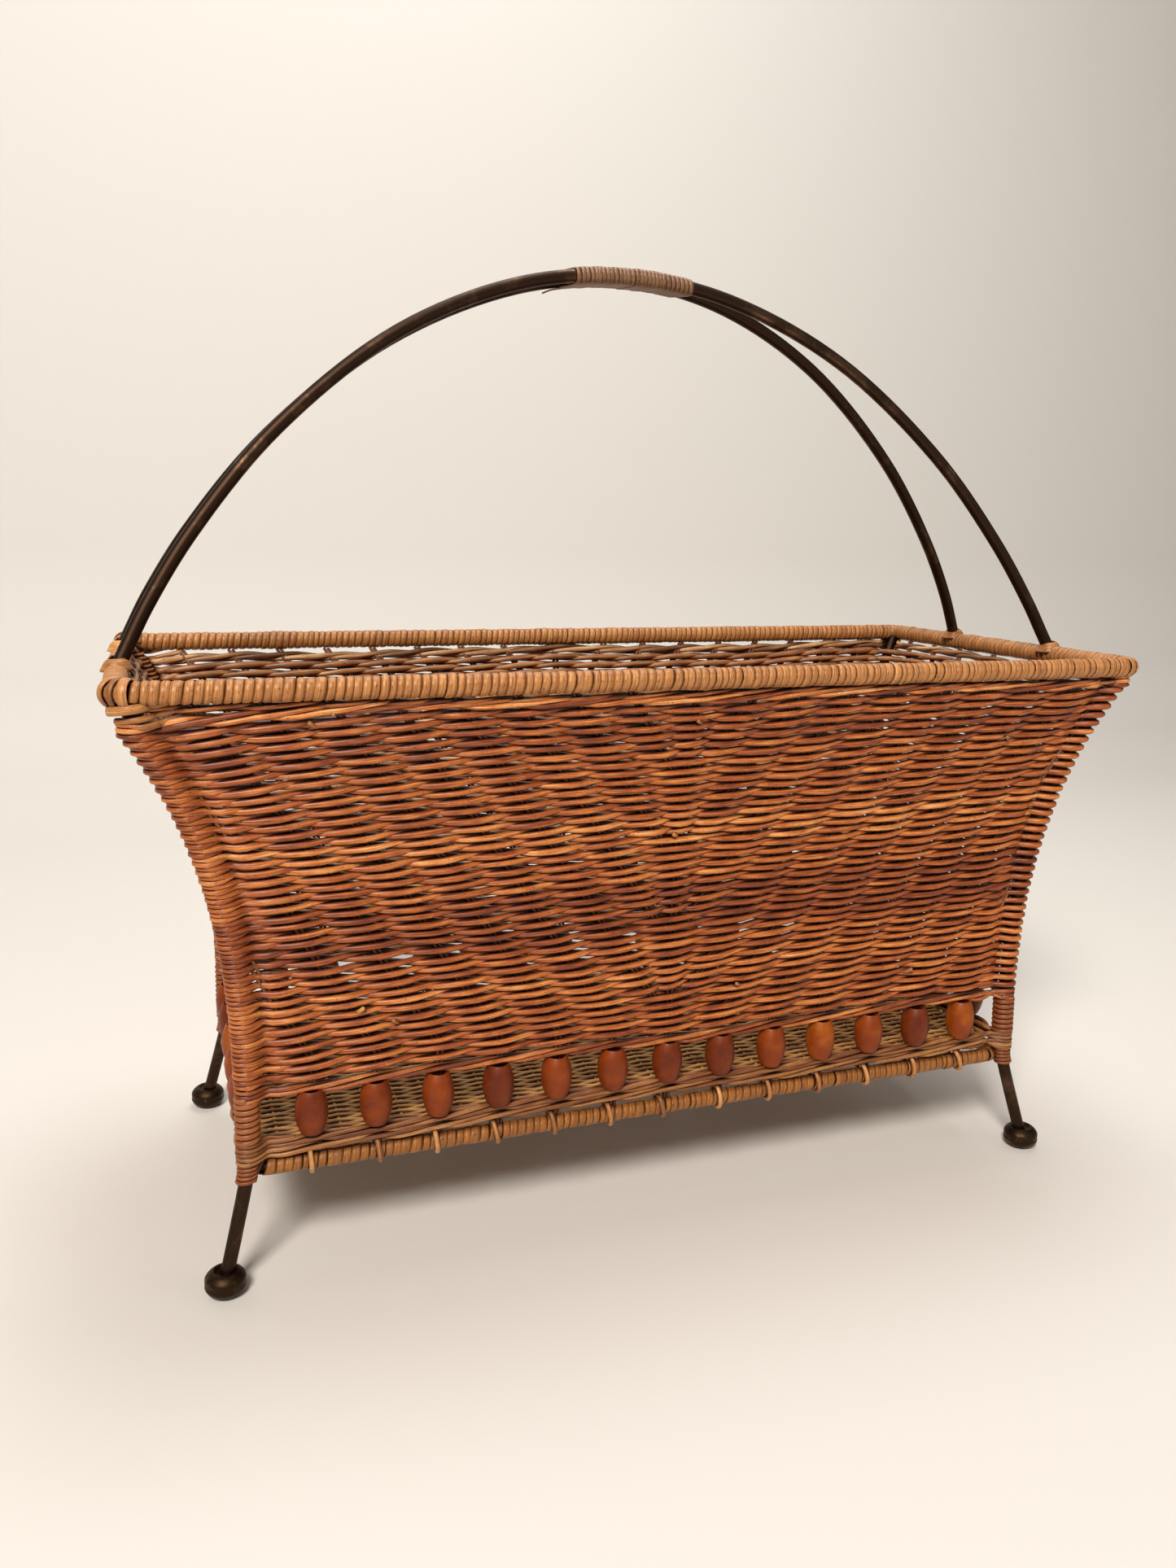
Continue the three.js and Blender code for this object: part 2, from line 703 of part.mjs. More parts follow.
for (const side_x of sides_x) {
  for (const side_y of sides_y) {
    const corner = `${side_names[side_y]}_${end_names[side_x]}`;
    const post = post_rod(side_x, side_y, 0).subtract(rim_rod_room);
    add_piece(`post_${corner}`, to_geometry(post), bronzed_steel);
    add_piece(`foot_${corner}`, foot_geometry(side_x, side_y), foot_metal);
    const wrap = wrap_rings(side_x, side_y);
    add_piece(`post_wrap_${corner}`, skin(wrap, false), cane);
    console.log(`post wrap ${corner}, least gap to itself: ${least_gap(wrap, wrap_loop_steps).toFixed(2)} mm`);
  }
}

const long = long_wall();
add_piece("wall_back", long, rattan);
add_piece("wall_front", long, rattan, Math.PI);
const short = short_wall();
add_piece("wall_right", short, rattan);
add_piece("wall_left", short, rattan, Math.PI);
add_piece("woven_base", base_geometry(), base_rattan);

const bead = bead_geometry();
const bead_height_middle = (lower_rows_top + wall_bottom) / 2;
const bead_wall = wall_half_size(wall_bottom);

function add_bead(row_name, number, x, y) {
  const mesh = add_piece(`bead_${row_name}_${String(number).padStart(2, "0")}`, bead, bead_wood);
  mesh.position.set(x, y, bead_height_middle);
}

for (const side_y of sides_y) {
  bead_places(beads_per_side, rail_length).forEach((place, bead_index) => {
    add_bead(side_names[side_y], bead_index + 1, place, side_y * bead_wall.y);
  });
}
for (const side_x of sides_x) {
  bead_places(beads_per_end, rail_depth).forEach((place, bead_index) => {
    add_bead(end_names[side_x], bead_index + 1, side_x * bead_wall.x, place);
  });
}

export default basket;
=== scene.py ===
# %% [markdown]
# # A twined rattan magazine basket
#
# The basket is a skeleton of bronzed steel rod. Four posts carry a ring at the rim and a thinner
# ring, the rail, near the floor. Rattan is twined round the posts and round paired stakes, wooden
# beads sit in a gap above the rail, and cane is wound over both rings and over the handle's grip.
#
# The solids that come with the model hold its sizes. This lesson dresses them: each strand of the
# weaving is its own tube, because light and shadow between strands is what makes wicker look like
# wicker, and no bump map gives that at the edges.

# %% Load the model and keep its box
import math

import bpy
import numpy as np
from mathutils import Matrix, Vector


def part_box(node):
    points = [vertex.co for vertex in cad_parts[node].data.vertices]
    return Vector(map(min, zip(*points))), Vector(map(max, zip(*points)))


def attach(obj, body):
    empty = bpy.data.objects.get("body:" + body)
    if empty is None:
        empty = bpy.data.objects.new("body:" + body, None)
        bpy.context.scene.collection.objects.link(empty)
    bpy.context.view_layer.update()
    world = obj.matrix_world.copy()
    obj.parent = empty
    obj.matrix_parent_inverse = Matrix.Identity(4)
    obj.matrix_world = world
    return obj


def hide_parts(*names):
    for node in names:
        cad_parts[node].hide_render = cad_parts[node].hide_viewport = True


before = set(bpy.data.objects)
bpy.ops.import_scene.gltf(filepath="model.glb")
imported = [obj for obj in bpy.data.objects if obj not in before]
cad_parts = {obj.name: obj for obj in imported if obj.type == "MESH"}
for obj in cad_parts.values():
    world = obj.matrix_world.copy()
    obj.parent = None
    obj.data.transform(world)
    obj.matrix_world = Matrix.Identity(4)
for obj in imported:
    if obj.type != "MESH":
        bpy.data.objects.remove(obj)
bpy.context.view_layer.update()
print("nodes in the model:", len(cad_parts))

# %% [markdown]
# Every length below is in millimetres and turns to metres only when a mesh is made. The driving
# sizes are read from the model: a ring's rod is as thick as the ring's box is high, and its
# centre line is half a rod inside that box. Sizes could be typed again here, but then the two
# models could drift apart.

# %% Measure the rods, the rings and the feet
MM = 0.001


def low_high(node):
    low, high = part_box(node)
    return np.array(low) / MM, np.array(high) / MM


rim_low, rim_high = low_high("rim_frame")
rail_low, rail_high = low_high("lower_frame")
rod_radius = (rim_high[2] - rim_low[2]) / 2
rail_rod_radius = (rail_high[2] - rail_low[2]) / 2
rim_height = (rim_high[2] + rim_low[2]) / 2
rail_height = (rail_high[2] + rail_low[2]) / 2
rim_half = rim_high[:2] - rod_radius
rail_half = rail_high[:2] - rail_rod_radius
ring_corner_radius = 8.0
foot_low, foot_high = low_high("foot_front_right")
foot_half = abs(foot_low + foot_high)[:2] / 2
foot_radius = (foot_high[0] - foot_low[0]) / 2
print("rim", rim_half, rim_height, "rail", rail_half, rail_height, "feet", foot_half)

# %% [markdown]
# The walls stand straight above the rail and flare towards the rim. A power curve does that with
# one number for each pair of walls. The posts follow the corners of the walls, pass just outside
# the rail's corners and lean out below it as legs.

# %% The curve of the walls and the posts
end_flare_power = 3.2
side_flare_power = 3.6
leg_splay_power = 1.05
post_settle_power = 6
weld_gap = 0.3
foot_height = 11.4
corner_inset = ring_corner_radius * (1 - math.sqrt(0.5))
post_out_at_rail = (rod_radius + rail_rod_radius + weld_gap) * math.sqrt(0.5) - corner_inset


def wall_half(height):
    share = np.clip((height - rail_height) / (rim_height - rail_height), 0, 1)
    out_x = (rim_half[0] - rail_half[0]) * share**end_flare_power
    out_y = (rim_half[1] - rail_half[1]) * share**side_flare_power
    return rail_half[0] + out_x, rail_half[1] + out_y


def post_half(height):
    half = np.array(wall_half(height))
    rise = np.clip((height - rail_height) / (rim_height - rail_height), 0, 1)
    drop = np.clip((rail_height - height) / (rail_height - foot_height / 2), 0, 1)
    out = post_out_at_rail * (1 - rise) ** post_settle_power - corner_inset * rise**post_settle_power
    splay = foot_half - rail_half - post_out_at_rail
    return half + out + splay * drop**leg_splay_power


print("post at the rail", post_half(rail_height), "and at 200 mm", post_half(200.0))

# %% [markdown]
# The camera stands a little above the rim, to the left of the basket, and looks down on it. Its
# place was found from the photograph by fitting the rim, the rail and the feet. Blender wants the
# camera's own axes as the columns of a matrix: to the right, up, and backwards.

# %% The camera
camera_place = np.array([-227.0, -590.0, 335.1])
camera_yaw = 0.346
camera_pitch = 0.210
camera_roll = 0.018
focal_pixels = 1463.3
photo_height_pixels = 1927
sensor_mm = 36.0
near_clip_mm = 10.0


def aimed(place, right, up, ahead):
    """The matrix of a camera or a lamp at a place in metres, looking ahead."""
    rows = np.column_stack([right, up, -ahead, place]).tolist()
    return Matrix([*rows, [0, 0, 0, 1]])


ahead = np.array([
    math.sin(camera_yaw) * math.cos(camera_pitch),
    math.cos(camera_yaw) * math.cos(camera_pitch),
    -math.sin(camera_pitch),
])
level_right = np.array([math.cos(camera_yaw), -math.sin(camera_yaw), 0.0])
level_up = np.cross(level_right, ahead)
right = math.cos(camera_roll) * level_right + math.sin(camera_roll) * level_up
up = math.cos(camera_roll) * level_up - math.sin(camera_roll) * level_right

camera = bpy.data.objects.new("camera", bpy.data.cameras.new("camera"))
camera.data.sensor_width = sensor_mm
camera.data.lens = sensor_mm * focal_pixels / photo_height_pixels
camera.data.clip_start = near_clip_mm * MM
camera.matrix_world = aimed(camera_place * MM, right, up, ahead)
bpy.context.collection.objects.link(camera)
bpy.context.scene.camera = camera
print("lens", round(camera.data.lens, 2), "mm")

# %% [markdown]
# Nearly every piece is a strand: a tube whose section may be flattened. Blender's curves with a
# bevel could make them, but a mesh made with NumPy gives a say over the section at each point, and
# each point can carry how far along and round the strand it lies. The materials use that for
# grain, so the grain runs along every strand whichever way it bends.

# %% Strands as meshes
random_seed = 7
rng = np.random.default_rng(random_seed)
strand_sides = 8
tip_length_share = 0.45
tip_width_share = 0.7


def unit(vectors):
    return vectors / np.linalg.norm(vectors, axis=-1, keepdims=True)


def strand(centres, outward, thick, wide, sides=strand_sides, closed=False, tone=None):
    """A tube through centres. thick is its half size along outward, wide its half size across."""
    centres = np.asarray(centres, float)
    thick = np.broadcast_to(np.asarray(thick, float), len(centres))
    wide = np.broadcast_to(np.asarray(wide, float), len(centres))
    outward = np.broadcast_to(np.asarray(outward, float), centres.shape)
    if closed:
        travel = unit(np.roll(centres, -1, 0) - np.roll(centres, 1, 0))
    else:
        travel = unit(np.gradient(centres, axis=0))
        tip = tip_length_share * min(thick[0], wide[0])
        centres = np.vstack([centres[:1] - travel[:1] * tip, centres, centres[-1:] + travel[-1:] * tip])
        travel = np.vstack([travel[:1], travel, travel[-1:]])
        outward = np.vstack([outward[:1], outward, outward[-1:]])
        thick = np.concatenate([thick[:1] * tip_width_share, thick, thick[-1:] * tip_width_share])
        wide = np.concatenate([wide[:1] * tip_width_share, wide, wide[-1:] * tip_width_share])
    across = unit(np.cross(travel, outward))
    out = np.cross(across, travel)
    angle = np.pi + 2 * np.pi * np.arange(sides) / sides
    ring = out[:, None] * (np.cos(angle)[None, :] * thick[:, None])[:, :, None]
    ring = ring + across[:, None] * (np.sin(angle)[None, :] * wide[:, None])[:, :, None]
    count = len(centres)
    points = (centres[:, None] + ring).reshape(-1, 3)
    index = np.arange(count * sides).reshape(count, sides)
    ahead_index = np.roll(index, -1, 0)
    side_index = np.roll(index, -1, 1)
    both_index = np.roll(ahead_index, -1, 1)
    quads = np.stack([index, side_index, both_index, ahead_index], -1)
    if not closed:
        quads = quads[:-1]
    ends = [] if closed else [index[0][::-1], index[-1]]
    along = np.concatenate([[0], np.cumsum(np.linalg.norm(np.diff(centres, axis=0), axis=1))])
    grain = np.empty((count, sides, 3))
    grain[:, :, 0] = along[:, None]
    grain[:, :, 1] = angle[None, :] * float(wide.mean())
    grain[:, :, 2] = rng.random() if tone is None else tone
    return points, quads.reshape(-1, 4), ends, grain.reshape(-1, 3)


print("random numbers start from", rng.random())

# %% [markdown]
# Turned pieces, the beads and the feet, are an outline spun round an axis. A screw modifier would
# do it too. Here the same kind of mesh comes out as for a strand, so one function can build them
# all, and a whole group of strands becomes one object. Outlines and paths are drawn through a few
# places by a rounded curve. Its knots lie as far apart as the root of the distance between the
# places, which keeps it from looping where two of them are close.

# %% Turned pieces, and objects from either kind
knot_power = 0.5
turned_grain_radius = 6.0


def smooth_path(points, per_span):
    """Points on a rounded curve through the given ones."""
    points = np.asarray(points, float)
    padded = np.vstack([2 * points[0] - points[1], points, 2 * points[-1] - points[-2]])
    distances = np.linalg.norm(np.diff(padded, axis=0), axis=1)
    knots = np.concatenate([[0], np.cumsum(distances**knot_power)])
    path = []
    for span in range(1, len(padded) - 2):
        stop = span + 1 == len(padded) - 2
        place = np.linspace(knots[span], knots[span + 1], per_span + stop, endpoint=stop)[:, None]
        level = [padded[span - 1 + step] for step in range(4)]
        for depth in range(1, 4):
            for step in range(4 - depth):
                start, end = knots[span - 1 + step], knots[span - 1 + step + depth]
                if depth == 3:
                    start, end = knots[span], knots[span + 1]
                share = (place - start) / (end - start)
                level[step] = level[step] * (1 - share) + level[step + 1] * share
        path.append(level[0])
    return np.vstack(path)


def turned(outline, sides, tone):
    """A closed outline of (radius, height), spun round the Z axis."""
    outline = np.asarray(outline, float)
    angle = 2 * np.pi * np.arange(sides) / sides
    points = np.empty((len(outline), sides, 3))
    points[:, :, 0] = outline[:, :1] * np.cos(angle)
    points[:, :, 1] = outline[:, :1] * np.sin(angle)
    points[:, :, 2] = outline[:, 1:]
    index = np.arange(len(outline) * sides).reshape(len(outline), sides)
    up_index = np.roll(index, -1, 0)
    quads = np.stack([index, np.roll(index, -1, 1), np.roll(up_index, -1, 1), up_index], -1)
    grain = np.empty((len(outline), sides, 3))
    grain[:, :, 0] = outline[:, 1:]
    grain[:, :, 1] = angle * turned_grain_radius
    grain[:, :, 2] = tone
    return points.reshape(-1, 3), quads.reshape(-1, 4), [], grain.reshape(-1, 3)


def moved(part, offset):
    points, quads, ends, grain = part
    return points + np.asarray(offset, float), quads, ends, grain


def make_piece(name, parts, finish, replaced=()):
    """One object from strands or turned parts, riding on the frame."""
    start = 0
    points, loops, sizes, grains = [], [], [], []
    for part_points, quads, ends, grain in parts:
        points.append(part_points)
        grains.append(grain)
        loops.append((quads + start).ravel())
        sizes.append(np.full(len(quads), 4))
        for end in ends:
            loops.append(np.asarray(end) + start)
            sizes.append(np.array([len(end)]))
        start += len(part_points)
    points = np.concatenate(points) * MM
    loops = np.concatenate(loops)
    sizes = np.concatenate(sizes)
    mesh = bpy.data.meshes.new(name)
    mesh.vertices.add(len(points))
    mesh.vertices.foreach_set("co", points.ravel())
    mesh.loops.add(len(loops))
    mesh.loops.foreach_set("vertex_index", loops)
    mesh.polygons.add(len(sizes))
    mesh.polygons.foreach_set("loop_start", np.concatenate([[0], np.cumsum(sizes)[:-1]]))
    mesh.update(calc_edges=True)
    mesh.validate()
    mesh.shade_smooth()
    attribute = mesh.attributes.new("grain", "FLOAT_VECTOR", "POINT")
    attribute.data.foreach_set("vector", np.concatenate(grains).ravel())
    mesh.materials.append(finish)
    piece = bpy.data.objects.new(name, mesh)
    bpy.context.collection.objects.link(piece)
    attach(piece, "root")
    if replaced:
        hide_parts(*replaced)
    print(name, "faces:", len(sizes))


# %% [markdown]
# Colours are picked as they look on a screen, in sRGB, and Blender's sockets want linear light.
# One function turns the one into the other, and one adds a node: its settings go to its sockets
# or its properties, and its links name the socket that each of its inputs comes from.

# %% Colours and nodes


def linear(code, alpha=1.0):
    channels = [int(code[place:place + 2], 16) / 255 for place in (0, 2, 4)]
    bent = [c / 12.92 if c <= 0.04045 else ((c + 0.055) / 1.055) ** 2.4 for c in channels]
    return (*bent, alpha)


def add_node(tree, kind, settings=None, links=None):
    node = tree.nodes.new(kind)
    for name, value in (settings or {}).items():
        if isinstance(name, str) and hasattr(node, name):
            setattr(node, name, value)
        else:
            node.inputs[name].default_value = value
    for name, source in (links or {}).items():
        tree.links.new(source, node.inputs[name])
    return node


def new_material(name):
    material = bpy.data.materials.new(name)
    material.use_nodes = True
    material.node_tree.nodes.clear()
    return material, material.node_tree


def set_ramp(node, stops):
    ramp = node.color_ramp
    while len(ramp.elements) < len(stops):
        ramp.elements.new(0.5)
    for element, (place, code) in zip(ramp.elements, stops):
        element.position = place
        element.color = linear(code)
    return node.outputs["Color"]


print("mid grey in linear light:", [round(c, 3) for c in linear("808080")[:3]])

# %% [markdown]
# Rattan and cane are the same vine. Peeled, split and stained, it keeps long fibres that catch
# the light as fine streaks, darker pores, and a tone that differs from strand to strand. A noise
# stretched far along the strand gives the streaks, a rounder one the blotches, and the third
# number of the grain shifts the whole strand. The grain is in millimetres, so a noise's scale is
# the number of its spots in one: the blotches are 11 mm and the specks 1.2 mm. The streaks are 15
# mm long and 0.4 mm wide, coarser than real fibres, which are too fine to show from here. It is a
# dull varnished wood: IOR 1.5, and rough enough that the highlight spreads along the strand.
#
# Two more things shape the colour. Where strands touch, painted shade darkens it: the shader looks 5
# mm around and multiplies closed places by a dark brown, open crowns by nearly white. And the rows
# were stained from outside, so they keep paler tones on the face that looks inward. Each strand
# starts its section on the inner side, so the way round it tells which face a point is on.

# %% Rattan and cane
fibres_per_mm = 1.5
fibre_stretch = (0.045, 1.6, 1.0)
blotches_per_mm = 0.09
specks_per_mm = 0.85
rattan_seed_spread = 911.0
tone_share = 0.56
fibre_share = 1.3
blotch_share = 0.55
darkest_level = -0.72
speck_edges = (0.62, 0.74)
inner_edges = (0.1, -0.6)
strand_round_mm = 1.5
# painted shade between strands: how far it looks, how many rays it casts, and its tones
crevice_reach_mm = 5.0
crevice_samples = 6
crevice_shade_tones = [(0.14, "482C20"), (0.42, "8C6A56"), (0.86, "FFFAF4")]
streak_depth_mm = 0.06
streak_strength = 0.55
smoother = 0.1
rougher = 0.12
rattan_ior = 1.5


def grain_parts(tree, seed_spread):
    """The grain's three numbers, and a place for noises that differs from strand to strand."""
    grain = add_node(tree, "ShaderNodeAttribute", {"attribute_name": "grain"}).outputs["Vector"]
    parts = add_node(tree, "ShaderNodeSeparateXYZ", links={0: grain}).outputs
    seed = add_node(
        tree, "ShaderNodeMath", {"operation": "MULTIPLY", 1: seed_spread}, {0: parts["Z"]},
    ).outputs[0]
    place = add_node(
        tree, "ShaderNodeCombineXYZ", links={"X": parts["X"], "Y": parts["Y"], "Z": seed},
    ).outputs[0]
    return parts, place


def rattan(name, tones, speck_code, speck_amount, roughness, inner_tones=None):
    material, tree = new_material(name)
    parts, place = grain_parts(tree, rattan_seed_spread)
    fibre_place = add_node(
        tree, "ShaderNodeVectorMath", {"operation": "MULTIPLY", 1: fibre_stretch}, {0: place},
    ).outputs[0]
    fibres = add_node(
        tree, "ShaderNodeTexNoise", {"Scale": fibres_per_mm, "Detail": 4.0, "Roughness": 0.6},
        {"Vector": fibre_place},
    ).outputs["Fac"]
    blotches = add_node(
        tree, "ShaderNodeTexNoise", {"Scale": blotches_per_mm, "Detail": 3.0, "Roughness": 0.55},
        {"Vector": place},
    ).outputs["Fac"]
    level = add_node(
        tree, "ShaderNodeMath", {"operation": "MULTIPLY_ADD", 1: tone_share, 2: darkest_level},
        {0: parts["Z"]},
    ).outputs[0]
    for pattern, share in ((fibres, fibre_share), (blotches, blotch_share)):
        level = add_node(
            tree, "ShaderNodeMath", {"operation": "MULTIPLY_ADD", 1: share}, {0: pattern, 2: level},
        ).outputs[0]
    colour = set_ramp(add_node(tree, "ShaderNodeValToRGB", links={"Fac": level}), tones)
    if inner_tones:
        inner_colour = set_ramp(add_node(tree, "ShaderNodeValToRGB", links={"Fac": level}), inner_tones)
        turn = add_node(
            tree, "ShaderNodeMath", {"operation": "DIVIDE", 1: strand_round_mm}, {0: parts["Y"]},
        ).outputs[0]
        outward = add_node(tree, "ShaderNodeMath", {"operation": "COSINE"}, {0: turn}).outputs[0]
        inner_share = add_node(
            tree, "ShaderNodeMapRange", {"From Min": inner_edges[0], "From Max": inner_edges[1]},
            {"Value": outward},
        ).outputs[0]
        colour = add_node(
            tree, "ShaderNodeMix", {"data_type": "RGBA"}, {0: inner_share, 6: colour, 7: inner_colour},
        ).outputs[2]
    specks = add_node(
        tree, "ShaderNodeTexNoise", {"Scale": specks_per_mm, "Detail": 2.0}, {"Vector": place},
    ).outputs["Fac"]
    speck_mask = add_node(
        tree, "ShaderNodeMapRange",
        {"From Min": speck_edges[0], "From Max": speck_edges[1], "To Max": speck_amount},
        {"Value": specks},
    ).outputs[0]
    mixed = add_node(
        tree, "ShaderNodeMix", {"data_type": "RGBA", 7: linear(speck_code)}, {0: speck_mask, 6: colour},
    ).outputs[2]
    # painted shade: the colour is darkened where strands close in, as shade would fall there
    openness = add_node(
        tree, "ShaderNodeAmbientOcclusion",
        {"samples": crevice_samples, "Distance": crevice_reach_mm * MM},
    ).outputs["AO"]
    painted_crevice_shade = set_ramp(add_node(tree, "ShaderNodeValToRGB", links={"Fac": openness}), crevice_shade_tones)
    crevice_shaded_colour = add_node(
        tree, "ShaderNodeVectorMath", {"operation": "MULTIPLY"}, {0: mixed, 1: painted_crevice_shade},
    ).outputs[0]
    bump = add_node(
        tree, "ShaderNodeBump", {"Strength": streak_strength, "Distance": streak_depth_mm * MM},
        {"Height": fibres},
    ).outputs["Normal"]
    rough = add_node(
        tree, "ShaderNodeMapRange", {"To Min": roughness - smoother, "To Max": roughness + rougher},
        {"Value": fibres},
    ).outputs[0]
    shader = add_node(
        tree, "ShaderNodeBsdfPrincipled", {"IOR": rattan_ior},
        {"Base Color": crevice_shaded_colour, "Roughness": rough, "Normal": bump},
    ).outputs[0]
    add_node(tree, "ShaderNodeOutputMaterial", links={"Surface": shader})
    return material


print("streaks:", round(1 / (fibres_per_mm * fibre_stretch[0])), "mm long")

# %% [markdown]
# The basket has eight finishes of it. The rows are stained red-brown. The lowest ones are browner,
# and darker as painted shade low on the wall. The stakes behind them are darker, and the base is
# unstained and weathered. The cane of the rim and the lashings is honey, that of the rail is rubbed
# and browner, that of the grip darker and greyer, and that of the posts ruddy. Each is a ramp of
# tones, the colour of its specks and how strongly they show, and a roughness.

# %% Finishes of rattan and cane
stained_rattan = rattan(
    "stained_twined_rattan",
    [(0.0, "461A06"), (0.3, "7A3610"), (0.52, "AC5A22"), (0.75, "D88C46"), (1.0, "F8C486")],
    "341606", 0.7, 0.42,
    inner_tones=[(0.0, "4A2C16"), (0.3, "785030"), (0.52, "A0744A"), (0.75, "C49A6A"), (1.0, "E4C498")],
)
stake_rattan = rattan(
    "stained_stake_rattan",
    [(0.0, "4A2612"), (0.5, "764420"), (1.0, "96602E")], "30180A", 0.5, 0.6,
)
# a browner tone, and darker as painted shade low on the wall
browner_shaded_rattan = rattan(
    "browner_shaded_twined_rattan",
    [(0.0, "3A1204"), (0.35, "602E0E"), (0.65, "8C5626"), (1.0, "C28E54")], "2C1006", 0.6, 0.45,
)
weathered_rattan = rattan(
    "weathered_base_rattan",
    [(0.0, "6A421A"), (0.4, "9C6C30"), (0.7, "C0904C"), (1.0, "DCB272")], "3C2814", 0.55, 0.6,
)
honey_cane = rattan(
    "split_honey_cane",
    [(0.0, "643818"), (0.35, "986130"), (0.65, "C48A4E"), (1.0, "E6B67C")], "44260C", 0.85, 0.42,
)
rail_cane = rattan(
    "rubbed_rail_cane",
    [(0.0, "542C0E"), (0.35, "84501C"), (0.7, "AA6E2A"), (1.0, "C8944C")], "3A1E0A", 0.9, 0.46,
)
# darker and greyer than the rim's cane
grip_cane = rattan(
    "greyer_grip_cane",
    [(0.0, "4A3020"), (0.35, "6C4C34"), (0.7, "886446"), (1.0, "A07C5A")], "32200F", 0.75, 0.42,
)
wrap_cane = rattan(
    "round_post_cane",
    [(0.0, "662E0E"), (0.4, "8C4C20"), (0.75, "AA6834"), (1.0, "C0864C")], "44200C", 0.6, 0.46,
)
print("the rows' finish:", stained_rattan.name, "with", len(stained_rattan.node_tree.nodes), "nodes")

# %% [markdown]
# The rod is plain steel with a brown bronzed finish: an oxide layer that looks like dark metal
# seen through tea. Hands have rubbed it lighter in patches, 22 mm long on the rods and 6 mm on the
# feet, over fine pits of 1.2 mm. It is a metal, so metallic is 1 and the IOR stays as it is, and
# roughness carries the wear.

# %% Bronzed steel
pit_size_mm = 1.2
pit_depth_mm = 0.08
pit_strength = 0.35
rub_width = 0.22
bronze_roughness = 0.5
rubbed_roughness = 0.33


def bronzed(name, dark_code, rubbed_code, patch_mm, rub_start):
    material, tree = new_material(name)
    place = add_node(tree, "ShaderNodeTexCoord").outputs["Object"]
    patches = add_node(
        tree, "ShaderNodeTexNoise", {"Scale": 1 / (patch_mm * MM), "Detail": 5.0, "Roughness": 0.65},
        {"Vector": place},
    ).outputs["Fac"]
    pits = add_node(
        tree, "ShaderNodeTexNoise", {"Scale": 1 / (pit_size_mm * MM), "Detail": 2.0}, {"Vector": place},
    ).outputs["Fac"]
    rub = add_node(
        tree, "ShaderNodeMapRange", {"From Min": rub_start, "From Max": rub_start + rub_width},
        {"Value": patches},
    ).outputs[0]
    colour = add_node(
        tree, "ShaderNodeMix", {"data_type": "RGBA", 6: linear(dark_code), 7: linear(rubbed_code)},
        {0: rub},
    ).outputs[2]
    rough = add_node(
        tree, "ShaderNodeMapRange", {"To Min": bronze_roughness, "To Max": rubbed_roughness},
        {"Value": rub},
    ).outputs[0]
    bump = add_node(
        tree, "ShaderNodeBump", {"Strength": pit_strength, "Distance": pit_depth_mm * MM},
        {"Height": pits},
    ).outputs["Normal"]
    shader = add_node(
        tree, "ShaderNodeBsdfPrincipled", {"Metallic": 1.0},
        {"Base Color": colour, "Roughness": rough, "Normal": bump},
    ).outputs[0]
    add_node(tree, "ShaderNodeOutputMaterial", links={"Surface": shader})
    return material


rod_steel = bronzed("bronzed_steel_rod", "3C2C22", "6E5440", patch_mm=22.0, rub_start=0.52)
foot_steel = bronzed("bronzed_steel_foot", "382A1E", "74583E", patch_mm=6.0, rub_start=0.55)
print("steel finishes:", rod_steel.name, foot_steel.name)

# %% [markdown]
# The beads are turned from a fine-grained hardwood, dyed amber to red-brown and varnished. The dye
# takes unevenly, in blotches of about 9 mm, and differs from bead to bead. The varnish has worn to
# a soft sheen, so its coat is weak and the wood's own highlight is held low.

# %% Varnished beads
bead_seed_spread = 57.0
dye_blotches_per_mm = 0.11
dye_share = 0.7
dye_shift = -0.35
bead_wood, tree = new_material("varnished_bead_wood")
parts, place = grain_parts(tree, bead_seed_spread)
dye = add_node(
    tree, "ShaderNodeTexNoise", {"Scale": dye_blotches_per_mm, "Detail": 4.0, "Roughness": 0.6},
    {"Vector": place},
).outputs["Fac"]
dye_part = add_node(
    tree, "ShaderNodeMath", {"operation": "MULTIPLY_ADD", 1: dye_share, 2: dye_shift}, {0: dye},
).outputs[0]
bead_level = add_node(tree, "ShaderNodeMath", {"operation": "ADD"}, {0: dye_part, 1: parts["Z"]}).outputs[0]
bead_colour = set_ramp(
    add_node(tree, "ShaderNodeValToRGB", links={"Fac": bead_level}),
    [(0.0, "421202"), (0.3, "602204"), (0.6, "863804"), (0.85, "A65808"), (1.0, "BA7824")],
)
bead_shader = add_node(
    tree, "ShaderNodeBsdfPrincipled",
    {
        "IOR": 1.45, "Specular IOR Level": 0.3, "Roughness": 0.5,
        "Coat Weight": 0.06, "Coat Roughness": 0.15,
    },
    {"Base Color": bead_colour},
).outputs[0]
add_node(tree, "ShaderNodeOutputMaterial", links={"Surface": bead_shader})
print("bead finish:", bead_wood.name)

# %% [markdown]
# The rods come first. Each post is one rod from the ball foot to the rim, so it is one tube along
# the curve above. The handle's rods start apart on the short rims and meet at the top. Each half
# of their arch is a rounded curve through nine places, given as shares of its reach, its height
# and its spread. The two rings inside the cane stay the model's own and only take the finish.

# %% Posts and handle rods
steel_sides = 20
leg_points = 9
post_points = 48
handle_span_points = 9
handle_top = low_high("handle_rod_front")[1][2] - rod_radius
handle_foot_y = 43.5
handle_top_y = 4.5
handle_shares = [
    (1.0, 0.0, 1.0), (0.995, 0.022, 0.986), (0.978, 0.069, 0.94), (0.943, 0.158, 0.859),
    (0.861, 0.326, 0.718), (0.706, 0.569, 0.512), (0.472, 0.816, 0.269), (0.22, 0.961, 0.073),
    (0.0, 1.0, 0.0),
]
corners = [
    (side_x, side_y, f"{'front' if side_y < 0 else 'back'}_{'left' if side_x < 0 else 'right'}")
    for side_x in (-1, 1) for side_y in (-1, 1)
]


def post_point(side_x, side_y, height):
    half = post_half(height)
    return np.array([side_x * half[0], side_y * half[1], height])


